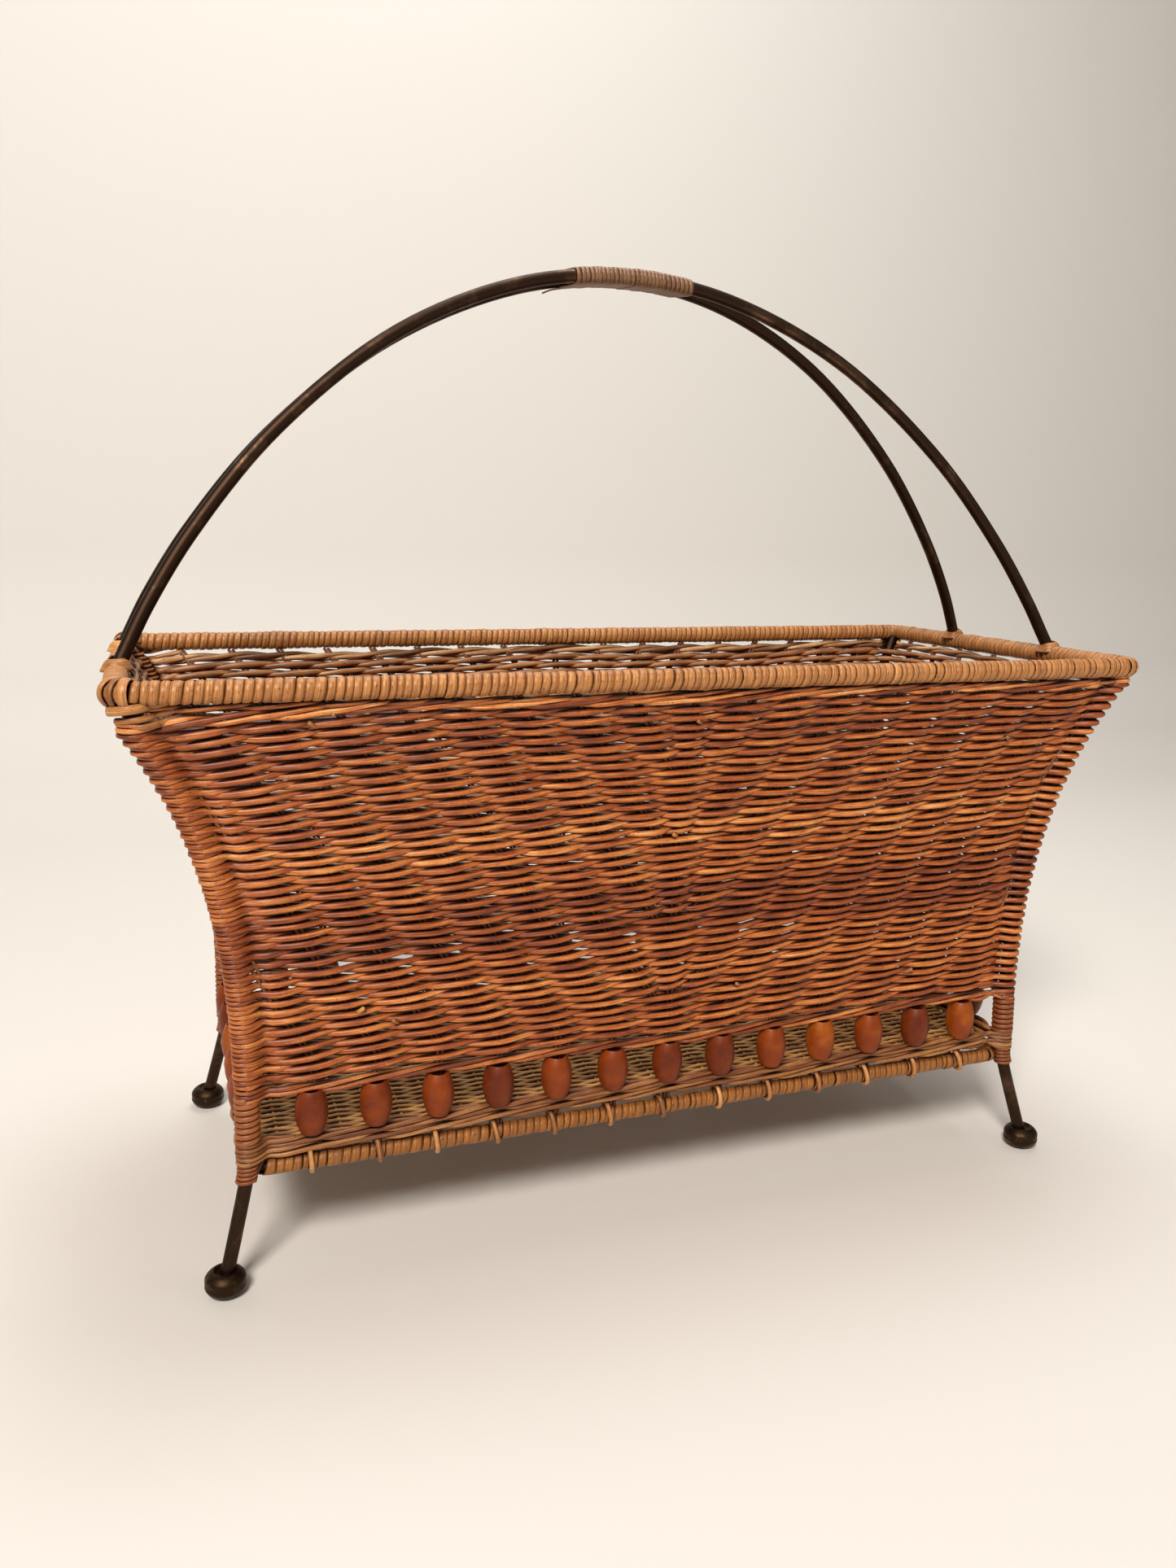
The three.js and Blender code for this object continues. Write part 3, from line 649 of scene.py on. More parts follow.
def handle_path(side_y):
    half = [
        (rim_half[0] * out, side_y * (handle_top_y + (handle_foot_y - handle_top_y) * spread),
         rim_height + (handle_top - rim_height) * rise)
        for out, rise, spread in handle_shares
    ]
    left = [(-x, y, z) for x, y, z in half[:-1]]
    return smooth_path(left + half[::-1], handle_span_points)


for side_x, side_y, corner in corners:
    heights = np.concatenate([
        np.linspace(foot_height / 2, rail_height, leg_points)[:-1],
        np.linspace(rail_height, rim_height, post_points),
    ])
    path = np.array([post_point(side_x, side_y, height) for height in heights])
    post = strand(path, (0, 1, 0), rod_radius, rod_radius, steel_sides)
    make_piece(f"post_rod_{corner}", [post], rod_steel, [f"post_{corner}"])

for side_y, name in ((-1, "front"), (1, "back")):
    rod = strand(handle_path(side_y), (0, 1, 0), rod_radius, rod_radius, steel_sides)
    make_piece(f"handle_arch_{name}", [rod], rod_steel, [f"handle_rod_{name}"])

for ring in ("rim_frame", "lower_frame"):
    ring_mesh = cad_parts[ring].data
    ring_mesh.materials.clear()
    ring_mesh.materials.append(rod_steel)

# %% [markdown]
# A foot is a steel ball pressed flat, with a small flat to stand on and a shallow dimple where the
# leg goes in. Its outline of (radius, height) is drawn from the middle of the rest to the middle of
# the socket.

# %% Ball feet
foot_span_points = 4
foot_sides = 40
foot_tone = 0.5
foot_outline = smooth_path(
    [(4.5, 0.0), (7.4, 1.5), (9.1, 4.2), (foot_radius, 5.8), (8.9, 8.2), (7.2, 10.4), (5.6, 11.3),
     (4.8, 11.2), (4.2, 10.5), (3.5, 10.2)],
    foot_span_points,
)
foot_outline = np.vstack([[(0.02, 0.0), (2.5, 0.0)], foot_outline, [(0.02, 10.0)]])
for side_x, side_y, corner in corners:
    foot_middle = (side_x * foot_half[0], side_y * foot_half[1], 0)
    foot = moved(turned(foot_outline, foot_sides, foot_tone), foot_middle)
    make_piece(f"ball_{corner}", [foot], foot_steel, [f"foot_{corner}"])

# %% [markdown]
# Now the weaving. Twining takes two weavers at a time. Between two stakes they cross, so at each
# stake one is in front and the other behind. Seen along the row, each weaver is a wave of offset
# from the wall's middle, and the other is the same wave half a turn later. A little lift with the
# sine of the same angle makes each stroke climb to the right, as on the basket.
#
# The stakes fan out. Every few rows a new pair is added at the middle, and the outer ones run into
# the posts. So the place of each stake moves outward with height while their spacing stays.

# %% Stakes that fan out from the middle
fan_start_mm = 100.0
fan_rate = 0.0255
least_from_middle = 11.0
least_from_post = 19.0
most_stakes = 12
pitch_heights = [90, 105, 140, 180]
pitch_sizes = [29.0, 28.5, 27.5, 26.3]


def stake_pitch(height):
    return np.interp(height, pitch_heights, pitch_sizes)


def fan_shift(height):
    return max(0.0, fan_rate * (height - fan_start_mm))


def stake_places(height, half_run):
    pitch = stake_pitch(height)
    first = fan_shift(height) % 1.0
    places = pitch * (first + np.arange(most_stakes))
    places = places[(places > least_from_middle) & (places < half_run - least_from_post)]
    return np.concatenate([-places[::-1], [0.0], places])


for height in (95.0, 150.0, 220.0):
    print("stakes on a long wall at", height, "mm:", len(stake_places(height, post_half(height)[0])))

# %% [markdown]
# No row of hand weaving is level. Slow and quick waves lift and sink it, and at one spot on the
# front the rows part. At the corners they were beaten down on the left posts and stand a little
# high on the right ones. Each of these depends on the side, the place along it and the height, so
# neighbouring rows wander together. The sides are counted from the front to the right, the back
# and the left, and the corner at the end of each has its number.

# %% How the rows wander
slow_wave = (0.7, 37.0, 1.3, 23.0)
quick_wave = (0.35, 14.5, 2.1, 9.0)
parting_height = 148.0
parting_along = -150.0
parting_size = 0.9
parting_edge = 3.0
parting_rise = 15.0
parting_run = 42.0
corner_droops = [1.5, 0.5, -3.0, -6.0]
droop_start = 120.0
droop_length = 140.0
loop_heights = [53, 150, 225, 262]
loop_radii = [4.3, 4.3, 4.9, 5.8]


def side_axes(side):
    angle = side * np.pi / 2
    travel = np.array([np.cos(angle), np.sin(angle), 0.0])
    out = np.array([np.sin(angle), -np.cos(angle), 0.0])
    return travel, out


def hump(place, middle, width):
    """One at the middle, falling smoothly to nothing on both sides."""
    return np.exp(-(((place - middle) / width) ** 2))


def wander(side, along, height, wave):
    size, length, side_shift, rise_length = wave
    return size * np.sin(along / length + side_shift * side + height / rise_length)


def row_wave(side, along, height):
    """How far a row strays from level."""
    stray = wander(side, along, height, slow_wave) + wander(side, along, height, quick_wave)
    if side != 0:
        return stray
    parted = np.tanh((height - parting_height) / parting_edge) * hump(height, parting_height, parting_rise)
    return stray + parting_size * parted * hump(along, parting_along, parting_run)


def corner_drop(corner, height):
    """How far a row stands above or below its height at a corner, most near the rim."""
    return corner_droops[corner % 4] * np.clip((height - droop_start) / droop_length, 0, 1) ** 2


def loop_radius(height):
    """How far from the middle of a post a weaver goes round it: looser towards the rim."""
    return np.interp(height, loop_heights, loop_radii)


print("a front row at 150 mm strays by", row_wave(0, np.array([-150.0, 0.0, 150.0]), 150.0).round(2))

# %% [markdown]
# A weaver's row is one closed ring: along a wall, round the post, along the next wall. The run
# along a wall is worked out once, facing front, and turned by quarter turns for the other three.
# First come its strokes, from stake to stake. A twined weaver swings like a cosine. A wale's wave
# is lifted and clipped, so it stays in front of two stakes and behind one.

# %% The strokes of a weaver
weave_reach = 1.95
weave_lift = 0.8
weave_sag = 0.45
climb_shares = (0.45, 0.55)
height_jitter = 0.22
swing_jitter = 0.1
wale_gain = 1.5
wale_shift = 0.5
crossing_squeeze = 0.1
back_fullness = 1.18
gather_share = 0.16
gather_from_post = 14.0
gather_width = 6.0
last_pitch = 26.0


def ease(distance, length):
    """One at no distance, easing to nothing at this length."""
    return 0.5 + 0.5 * np.cos(np.pi * np.clip(distance / length, 0, 1))


def stakes_passed(along, places):
    """How many stakes lie behind each point, with fractions, and on past the last one."""
    count = np.interp(along, places, np.arange(len(places), dtype=float))
    count += np.clip((along - places[-1]) / last_pitch, 0, None)
    return count - np.clip((places[0] - along) / last_pitch, 0, None)


def strokes(along, places, phase, weavers, reach, lift, sag):
    """How far a weaver stands out from the wall's middle, and above its row."""
    jitter = np.interp(along, places, rng.normal(0, height_jitter, len(places)))
    swing = np.interp(along, places, rng.normal(1.0, swing_jitter, len(places)))
    if weavers == 2:
        offset = reach * np.cos(phase) * swing
    else:
        offset = reach * np.clip(wale_gain * (np.cos(phase) + wale_shift), -1, 1)
    climb = climb_shares[0] * np.sin(phase) + climb_shares[1] * np.sin(phase) ** 3
    return offset, lift * climb - sag * np.cos(phase) + jitter


def width_share(phase, to_post, near, side):
    """A weaver is narrower where it crosses another, fuller at the back and beside a post."""
    share = 1 - crossing_squeeze * np.abs(np.sin(phase)) * (1 - near)
    share = share * (1 + (back_fullness - 1) * (side == 2) * (1 - near))
    return share * (1 + gather_share * hump(to_post, gather_from_post, gather_width))


print("stakes passed half a pitch after the second:", stakes_passed(1.5, np.array([0.0, 1.0, 2.0])))

# %% [markdown]
# Beside a post the strokes fade. A weaver that goes outside dives behind the last stake, swings out
# and lies tight on the post, which makes the stacked loops at the corners. The other kind swings
# in and passes inside the post.

# %% A weaver beside a post
post_hold_mm = 9.5
calm_start_mm = 4.0
calm_length_mm = 14.0
calm_least = 0.35
dive_depth = 1.6
dive_from_post = 9.0
dive_width = 3.2
inner_pass = 4.8
loop_steps = 7


def beside_post(offset, to_post, in_front, around_post):
    """The strokes' offset, led over to the loop round the post or to the pass inside it."""
    at_post = ease(to_post, post_hold_mm)
    target = np.where(in_front, around_post, -inner_pass)
    dive = dive_depth * hump(to_post, dive_from_post, dive_width) * in_front
    calm = np.clip((to_post - calm_start_mm) / calm_length_mm, calm_least, 1)
    return offset * (1 - at_post) * calm + target * at_post - dive


def post_loop(corner, travel, out, around_post, level):
    """Points round the outside of one post, and the directions that they face."""
    turns = np.linspace(0, np.pi / 2, loop_steps)[1:-1]
    facing = np.array([out * np.cos(turn) + travel * np.sin(turn) for turn in turns])
    points = corner + facing * around_post
    points[:, 2] = level
    return points, facing


print("points of a loop between its two ends:", loop_steps - 2)

# %% [markdown]
# Now the whole ring. On the left posts both weavers of a row go outside, one above the other, so
# their loops are packed and squeezed. On the right posts one goes outside and the other passes
# inside, and the number of stakes tells which. A wale goes outside with all three.

# %% One weaver, once round the basket
weaver_half = 1.58
weaver_thick_share = 0.92
weaver_sides = 7
post_steps_mm = np.array([0.0, 1.4, 2.8, 4.2, 5.8, 7.6])
run_start_mm = 10.0
run_stop_mm = 9.0
run_step_mm = 3.5
post_lean_mm = 16.0
corner_fade_mm = 40.0
slope_share = 0.35
loop_squeeze = 0.78
uneven_share = 0.07
uneven_length = 17.0
uneven_turn = 6.28


def weaver(height, number, weavers, half=weaver_half, reach=weave_reach, lift=weave_lift, sag=weave_sag,
           post_rise=0.0, bow=0.0, tone=None):
    """Number says which of the row's weavers this is: two twine, three make a wale."""
    half_x, half_y = wall_half(height)
    next_x, next_y = wall_half(height + 1)
    post_x, post_y = post_half(height)
    around_post = loop_radius(height)
    stake_counts = [len(stake_places(height, run)) for run in (post_x, post_y, post_x, post_y)]
    tight = [weavers > 2 or side > 1 for side in range(4)]
    fronts = [tight[side] or (stake_counts[side] + number + side) % 2 == 0 for side in range(4)]
    rises = [post_rise * tight[side] for side in range(4)]
    centres, outward, wides = [], [], []
    for side in range(4):
        travel, out = side_axes(side)
        long_side = side % 2 == 0
        half_run, wall, post = (post_x, half_y, post_y) if long_side else (post_y, half_x, post_x)
        slope = next_y - half_y if long_side else next_x - half_x
        middle = np.arange(-half_run + run_start_mm, half_run - run_stop_mm, run_step_mm)
        along = np.concatenate([-half_run + post_steps_mm, middle, half_run - post_steps_mm[::-1]])
        to_post = half_run - np.abs(along)
        near = ease(to_post, post_lean_mm)

        places = stake_places(height, half_run)
        phase = 2 * np.pi * (stakes_passed(along, places) + number + side) / weavers
        offset, rise = strokes(along, places, phase, weavers, reach, lift, sag)
        in_front = np.where(along > 0, fronts[side], fronts[side - 1])
        offset = beside_post(offset, to_post, in_front, around_post)

        level = height + (rise + row_wave(side, along, height)) * (1 - near)
        level = level + np.where(along > 0, rises[side], rises[side - 1]) * near
        level = level + corner_drop(side, height) * np.exp(-(half_run - along) / corner_fade_mm)
        level = level + corner_drop(side - 1, height) * np.exp(-(half_run + along) / corner_fade_mm)
        level = level + bow * (1 - (along / half_run) ** 2) * long_side
        base = wall + (post - wall) * near
        centre = travel * along[:, None] + out * (base + offset)[:, None]
        centre[:, 2] = level

        kept = in_front | (to_post > inner_pass)
        steepness = 1 + slope_share * (math.hypot(1, slope) - 1)
        centres.append(centre[kept])
        outward.append(np.broadcast_to(out, (kept.sum(), 3)))
        wides.append((half * width_share(phase, to_post, near, side) * steepness)[kept])
        if not fronts[side]:
            continue
        corner = travel * half_run + out * post
        loop_level = height + rises[side] + corner_drop(side, height)
        loop, facing = post_loop(corner, travel, out, around_post, loop_level)
        centres.append(loop)
        outward.append(facing)
        wides.append(np.full(len(loop), half * (loop_squeeze if rises[side] else 1.0)))
    centres = np.concatenate(centres)
    uneven = 1 + uneven_share * np.sin(np.arange(len(centres)) / uneven_length + uneven_turn * rng.random())
    thick = weaver_thick_share * half * uneven
    wide = np.concatenate(wides) * uneven
    return strand(centres, np.concatenate(outward), thick, wide, weaver_sides, closed=True, tone=tone)


print("points round the basket:", len(weaver(150.0, 0, 2)[0]) // weaver_sides)

# %% [markdown]
# Thirty-eight twined rows fill the wall. Rows differ a little in tone and the weavers of a row
# differ more, as canes from one dye bath do. They make three objects, each a third of the wall,
# because one mesh of all of them would be too heavy for other programs.

# %% The twined rows
first_row = 95.4
last_row = 258.0
row_count = 38
row_pitch = (last_row - first_row) / (row_count - 1)
row_tone = 0.5
tone_wave = 0.06
tone_wave_rows = 3.1
row_tone_spread = 0.08
weaver_tone_spread = 0.12
rows = []
for row in range(row_count):
    height = first_row + row * row_pitch
    drift = row_tone + tone_wave * math.sin(row / tone_wave_rows) + rng.normal(0, row_tone_spread)
    for number in range(2):
        tone = float(np.clip(drift + rng.normal(0, weaver_tone_spread), 0, 1))
        rows.append(weaver(height, number, 2, post_rise=(number - 0.5) * row_pitch / 2, tone=tone))
walls = ["wall_front", "wall_back", "wall_left", "wall_right"]
third = len(rows) // 3
thirds = {"lower": rows[:third], "middle": rows[third:2 * third], "upper": rows[2 * third:]}
for part, part_rows in thirds.items():
    make_piece(f"twined_rows_{part}", part_rows, stained_rattan, walls)

# %% [markdown]
# The bands at the top and the bottom of the wall are wales: three weavers that each pass in front
# of two stakes and behind one, which gives long slanting strokes. Two more close the gap between
# the rail and the beads. Those bow up in the middle of the long sides, and their finish is browner,
# and darker as painted shade low on the wall. A wale is given by its height and by how far it bows.

# %% Wales
wale_places = [(60.4, 1.6), (64.5, 1.4), (89.6, 0.0), (262.6, 0.0)]
wale_half = 1.3
wale_reach = 2.0
wale_lift = 1.5
wale_sag = 0.2
wale_post_rise = 2.2
wales, lower_wales = [], []
for height, bow in wale_places:
    for number in range(3):
        wale = weaver(height, number, 3, half=wale_half, reach=wale_reach, lift=wale_lift, sag=wale_sag,
                      post_rise=(number - 1) * wale_post_rise, bow=bow)
        (lower_wales if bow else wales).append(wale)
make_piece("lower_wale_rows", lower_wales, browner_shaded_rattan)

# %% [markdown]
# Under the front rim the rows leave a slit, because they droop towards the left. Two more strands
# are packed in there. They twine like a row, but stop short of the posts, so they aren't rings.

# %% Packing under the rim
packing_height = 264.2
packing_wall_height = 264.6
packing_end_height = 265.0
packing_end_gap = 4.0
packing_points = 150
packing_reach = 1.8
packing_lift = 0.7
packing_wave = 0.4
packing_wave_length = 40
packing_half_sizes = (1.1, 1.15)
packing_tone = 0.6
packing_wall = wall_half(packing_wall_height)[1]
packing_run = post_half(packing_end_height)[0] - packing_end_gap
packed = np.linspace(-packing_run, packing_run, packing_points)
for number in range(2):
    phase = np.pi * (packed / stake_pitch(packing_height) + number)
    level = packing_height + packing_lift * np.sin(phase)
    level = level + packing_wave * np.sin(packed / packing_wave_length)
    centre = np.stack([packed, -packing_wall - packing_reach * np.cos(phase), level], -1)
    wales.append(strand(centre, (0, -1, 0), *packing_half_sizes, weaver_sides, tone=packing_tone))
make_piece("wale_rows", wales, stained_rattan)

# %% [markdown]
# A weaver that runs out is cut off, and the next one starts beside it. The ends stand out between
# the rows as short stubs, pale because the cut bares cane that the stain didn't reach. Four are at
# places where the real basket has them, by the place along the front and the height. The others
# are strewn over the front and the back.

# %% Cut ends
seen_ends = [(-169.0, 255.0), (-134.0, 115.0), (4.0, 250.0), (134.0, 109.0)]
strewn_count = 14
strewn_run = 180
strewn_heights = (100, 250)
front_count = 8
stub_out = np.array([0.2, 2.4, 4.1])
stub_lean = np.array([0.0, 1.6, 3.4])
stub_rise = np.array([0.0, 1.0, 3.0])
stub_rise_range = (0.3, 1.0)
stub_half_sizes = (1.0, 1.15)
stub_span_points = 3
strewn_ends = [
    (rng.uniform(-strewn_run, strewn_run), rng.uniform(*strewn_heights)) for number in range(strewn_count)
]
cut_ends = []
for number, (along, height) in enumerate(seen_ends + strewn_ends):
    travel, out = side_axes(0 if number < front_count else 2)
    lean = stub_lean * rng.choice([-1, 1])
    centre = travel * (along + lean)[:, None] + out * (wall_half(height)[1] + stub_out)[:, None]
    centre[:, 2] = height + stub_rise * rng.uniform(*stub_rise_range)
    cut_ends.append(strand(smooth_path(centre, stub_span_points), travel, *stub_half_sizes, weaver_sides))
make_piece("cut_ends", cut_ends, honey_cane)

# %% [markdown]
# The stakes are pairs of thin rods side by side. They show in the small dark gaps of the weaving
# and as slanting ends under the rim. Each follows the fan with the same pitch and shift as the
# weavers, read at every height, for as long as it is between the middle and the post. A new pair
# is born at the middle each time that the fan has moved out by one pitch.

# %% Stakes
stake_radius = 0.95
stake_pair_gap = 2.2
stake_sides = 6
stake_foot = 57.0
stake_top = rim_height - 3.0
stake_step_mm = 5.5
stakes_each_way = 6
births = 6
clear_of_middle = 5.0
clear_of_post = 4.5
shortest_points = 3
heights = np.arange(stake_foot, stake_top + 0.1, stake_step_mm)
wall_halves = np.array([wall_half(height) for height in heights])
post_halves = np.array([post_half(height) for height in heights])
pitch = stake_pitch(heights)
shift = np.array([fan_shift(height) for height in heights])
stakes = []
for side in range(4):
    travel, out = side_axes(side)
    wall = wall_halves[:, 1 - side % 2]
    run = post_halves[:, side % 2]
    for number in range(-stakes_each_way, stakes_each_way + 1):
        for born in range(births):
            if number == 0:
                along = np.zeros(len(heights))
                alive = np.full(len(heights), born == 0)
            else:
                sign = math.copysign(1, number)
                along = sign * pitch * (abs(number) - born + shift)
                alive = (sign * along > clear_of_middle) & (np.abs(along) < run - clear_of_post)
                alive &= (born == 0) | (abs(number) == 1)
            if alive.sum() < shortest_points:
                continue
            for pair in (-0.5, 0.5):
                centre = travel * (along + pair * stake_pair_gap)[:, None] + out * wall[:, None]
                centre[:, 2] = heights
                stakes.append(strand(centre[alive], out, stake_radius, stake_radius, stake_sides))
make_piece("paired_stakes", stakes, stake_rattan)

# %% [markdown]
# The beads are barrels with a wide hole, threaded on the paired stakes. Their outline closes on
# itself: up the outside, over the lip, down the bore. Its upper half is drawn, as radius and
# height, and mirrored for the lower one. Each bead gets its own tone, so the dye differs.

# %% Beads
bead_low, bead_high = low_high("bead_front_07")
bead_radius = (bead_high[0] - bead_low[0]) / 2
bead_half = (bead_high[2] - bead_low[2]) / 2
bead_end_radius = 5.2
bead_lip_radius = 4.1
bead_bore_radius = 2.9
bead_span_points = 4
bead_sides = 28
bead_tone = 0.52
bead_tone_spread = 0.2
bead_tone_limits = (0.1, 0.95)
half_outline = [
    (bead_radius, 0.0), (bead_radius * 0.98, bead_half * 0.28), (bead_radius * 0.88, bead_half * 0.6),
    (bead_end_radius + 0.1, bead_half * 0.91), (bead_end_radius - 0.55, bead_half * 0.995),
    (bead_lip_radius - 0.2, bead_half * 0.95), (bead_bore_radius + 0.3, bead_half * 0.7),
    (bead_bore_radius, 0.0),
]
upper = smooth_path(half_outline, bead_span_points)
bead_outline = np.vstack([upper, (upper * (1, -1))[::-1][1:-1]])
for node in sorted(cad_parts):
    if not node.startswith("bead_"):
        continue
    low, high = low_high(node)
    tone = float(np.clip(rng.normal(bead_tone, bead_tone_spread), *bead_tone_limits))
    bead = moved(turned(bead_outline, bead_sides, tone), (low + high) / 2)
    make_piece(f"turned_{node}", [bead], bead_wood, [node])

# %% [markdown]
# The base is woven plainly: thin rods run lengthwise, over one cross stake and under the next, and
# neighbours alternate. It lies on the rail just inside the lowest rows.

# %% Woven base
base_low, base_high = low_high("woven_base")
base_middle = (base_low[2] + base_high[2]) / 2
base_depth = base_high[1] - base_low[1]
base_sides = 6
base_rod_half_sizes = (1.2, 1.32)
base_pitch = 2.4
base_spare = 3.0
base_margin = 2.0
base_wave = 0.85
base_drift = 0.35
base_drift_length = 31
base_jitter = 0.1
base_start_mm = 1.5
base_stop_mm = 1.0
base_step_mm = 3.6
base_parts = []
base_rows = int((base_depth - base_spare) / base_pitch)
cross_pitch = 14.5
cross_each_way = 13
cross_margin = 1.2
cross_points = 30
cross_half_sizes = (0.8, 1.1)
for row in range(base_rows):
    across = base_low[1] + base_margin + (row + 0.5) * (base_depth - 2 * base_margin) / base_rows
    along = np.arange(base_low[0] + base_start_mm, base_high[0] - base_stop_mm, base_step_mm)
    across = across + base_drift * np.sin(along / base_drift_length + row) + rng.normal(0, base_jitter)
    phase = np.pi * along / cross_pitch + np.pi * (row % 2)
    centre = np.stack([along, across, base_middle + base_wave * np.cos(phase)], -1)
    base_parts.append(strand(centre, (0, 0, 1), *base_rod_half_sizes, base_sides))
across = np.linspace(base_low[1] + cross_margin, base_high[1] - cross_margin, cross_points)
for place in np.arange(-cross_each_way, cross_each_way + 1) * cross_pitch:
    centre = np.stack([np.full(cross_points, place), across, np.full(cross_points, base_middle)], -1)
    base_parts.append(strand(centre, (0, 0, 1), *cross_half_sizes, base_sides))
make_piece("woven_floor", base_parts, weathered_rattan, ["woven_base"])

# %% [markdown]
# Cane winds round both rings. One helix along the ring's path is enough, as long as its turns are
# a little uneven: real turns lean, bunch up and differ in width. The strip is split cane, flat
# inside and rounded outside, so its section is a flat oval. Its pitch and its thickness are given
# at the ring's four corners, from the front left one on, and drawn evenly between them.

# %% Cane round a ring
ring_step_mm = 2.0
ring_corner_points = 6
winding_sides = 7
winding_tone = 0.5
pitch_spread = 0.13
bulge_middle = -0.12
bulge_spread = 0.18
rightward, backward, upward = np.eye(3)


def circle(turn, first, second):
    """Directions that turn from the first axis to the second and on round."""
    return first * np.cos(turn)[:, None] + second * np.sin(turn)[:, None]


def ring_path(half, height):
    """Points, outward directions and lengths along a rounded rectangle."""
    radius = ring_corner_radius
    points, facing = [], []
    for side in range(4):
        travel, out = side_axes(side)
        run, reach = half if side % 2 == 0 else half[::-1]
        for along in np.arange(-run + radius, run - radius, ring_step_mm):
            points.append(travel * along + out * reach)
            facing.append(out)
        for turn in np.linspace(0, np.pi / 2, ring_corner_points, endpoint=False):
            here = out * np.cos(turn) + travel * np.sin(turn)
            points.append(travel * (run - radius) + out * (reach - radius) + here * radius)
            facing.append(here)
    points = np.array(points + points[:1])
    points[:, 2] = height
    lengths = np.linalg.norm(np.diff(points, axis=0), axis=1)
    return points, np.array(facing + facing[:1]), np.concatenate([[0], np.cumsum(lengths)])


def wound_ring(half, height, outer, pitches, thicks, fill, steps):
    """Cane wound round a ring, filling this share of its pitch, with so many steps to a turn."""
    points, facing, lengths = ring_path(half, height)
    turns = int(round(lengths[-1] / np.mean(pitches)))
    whole_turns = np.arange(turns + 1)
    corner_shares = np.cumsum([0, *half, *half]) / (2 * sum(half))
    pitch = np.interp(whole_turns[:-1] / turns, corner_shares, [*pitches, pitches[0]])
    pitch = pitch * (1 + rng.normal(0, pitch_spread, turns))
    turn_starts = np.concatenate([[0], np.cumsum(pitch)])
    turn_starts *= lengths[-1] / turn_starts[-1]
    angle = np.arange(turns * steps) / steps
    place = np.interp(angle, whole_turns, turn_starts)
    middle = np.stack([np.interp(place, lengths, points[:, axis]) for axis in range(3)], -1)
    out = unit(np.stack([np.interp(place, lengths, facing[:, axis]) for axis in range(3)], -1))
    wide = np.interp(angle, whole_turns, fill * np.concatenate([pitch, pitch[:1]]) / 2)
    thick = np.interp(angle / turns, corner_shares, [*thicks, thicks[0]])
    bulge = np.interp(angle, whole_turns, rng.normal(bulge_middle, bulge_spread, turns + 1))
    radial = circle(2 * np.pi * angle, out, upward)
    centres = middle + radial * (outer - thick + bulge)[:, None]
    return strand(centres, radial, thick, wide, winding_sides, closed=True, tone=winding_tone)


print("length of the rim:", round(ring_path(rim_half, rim_height)[2][-1]), "mm")

# %% [markdown]
# The rim's cane is thickest at the front left corner. The rail's is thinner and more worn, and its
# turns overlap, so they get more steps to keep their thin edges smooth.

# %% Bind the rim and the rail
binding_low, binding_high = low_high("rim_binding")
rim_cane_inset = 0.35
rim_binding_radius = (binding_high[2] - binding_low[2]) / 2 - rim_cane_inset
rim_pitches = (3.9, 3.3, 3.3, 3.7)
rim_thicks = (1.05, 0.5, 0.5, 0.8)
rim_wound = wound_ring(
    rim_half, rim_height, rim_binding_radius, rim_pitches, rim_thicks, fill=1.08, steps=12,
)
make_piece("rim_cane", [rim_wound], honey_cane, ["rim_binding"])

binding_low, binding_high = low_high("lower_binding")
rail_binding_radius = (binding_high[2] - binding_low[2]) / 2
rail_pitches = (4.0, 3.6, 3.6, 4.0)
rail_thicks = (0.3, 0.3, 0.3, 0.3)
rail_wound = wound_ring(
    rail_half, rail_height, rail_binding_radius, rail_pitches, rail_thicks, fill=1.14, steps=20,
)
make_piece("rail_cane", [rail_wound], rail_cane, ["lower_binding"])

# %% [markdown]
# Round the rail, lashings of round cane come down from the lowest rows at every bead and hold the
# weaving to it. Each is one closed loop that leans a little and is drawn up at its top, where it
# goes in between the rows.

# %% Lashings round the rail
lashing_radius = 1.15
lashing_seat = 0.8
lashing_points = 20
lashing_sides = 8
lashing_place_height = 90.0
lashing_shift, lashing_shift_spread = -1.5, 1.2
lashing_lean, lashing_lean_spread = 0.8, 0.3
lashing_lift = 1.2
lashings = []
for side in range(4):
    travel, out = side_axes(side)
    run, reach = rail_half if side % 2 == 0 else rail_half[::-1]
    for place in stake_places(lashing_place_height, run):
        along = place + rng.normal(lashing_shift, lashing_shift_spread)
        lean = rng.normal(lashing_lean, lashing_lean_spread)
        turn = np.linspace(0, 2 * np.pi, lashing_points, endpoint=False)
        facing = circle(turn, out, upward)
        centre = travel * (along - lean * np.sin(turn))[:, None] + out * reach
        centre = centre + facing * (rail_binding_radius + lashing_radius * lashing_seat)
        centre[:, 2] += rail_height + lashing_lift * np.clip(np.sin(turn), 0, 1)
        lashing = strand(centre, facing, lashing_radius, lashing_radius, lashing_sides, closed=True)
        lashings.append(lashing)
make_piece("rail_lashings", lashings, honey_cane)

# %% [markdown]
# Where a handle rod goes down into the rim, cane is laid round it in a small cone. It is a helix
# that narrows as it climbs, of a strip that leans with the cone's side.

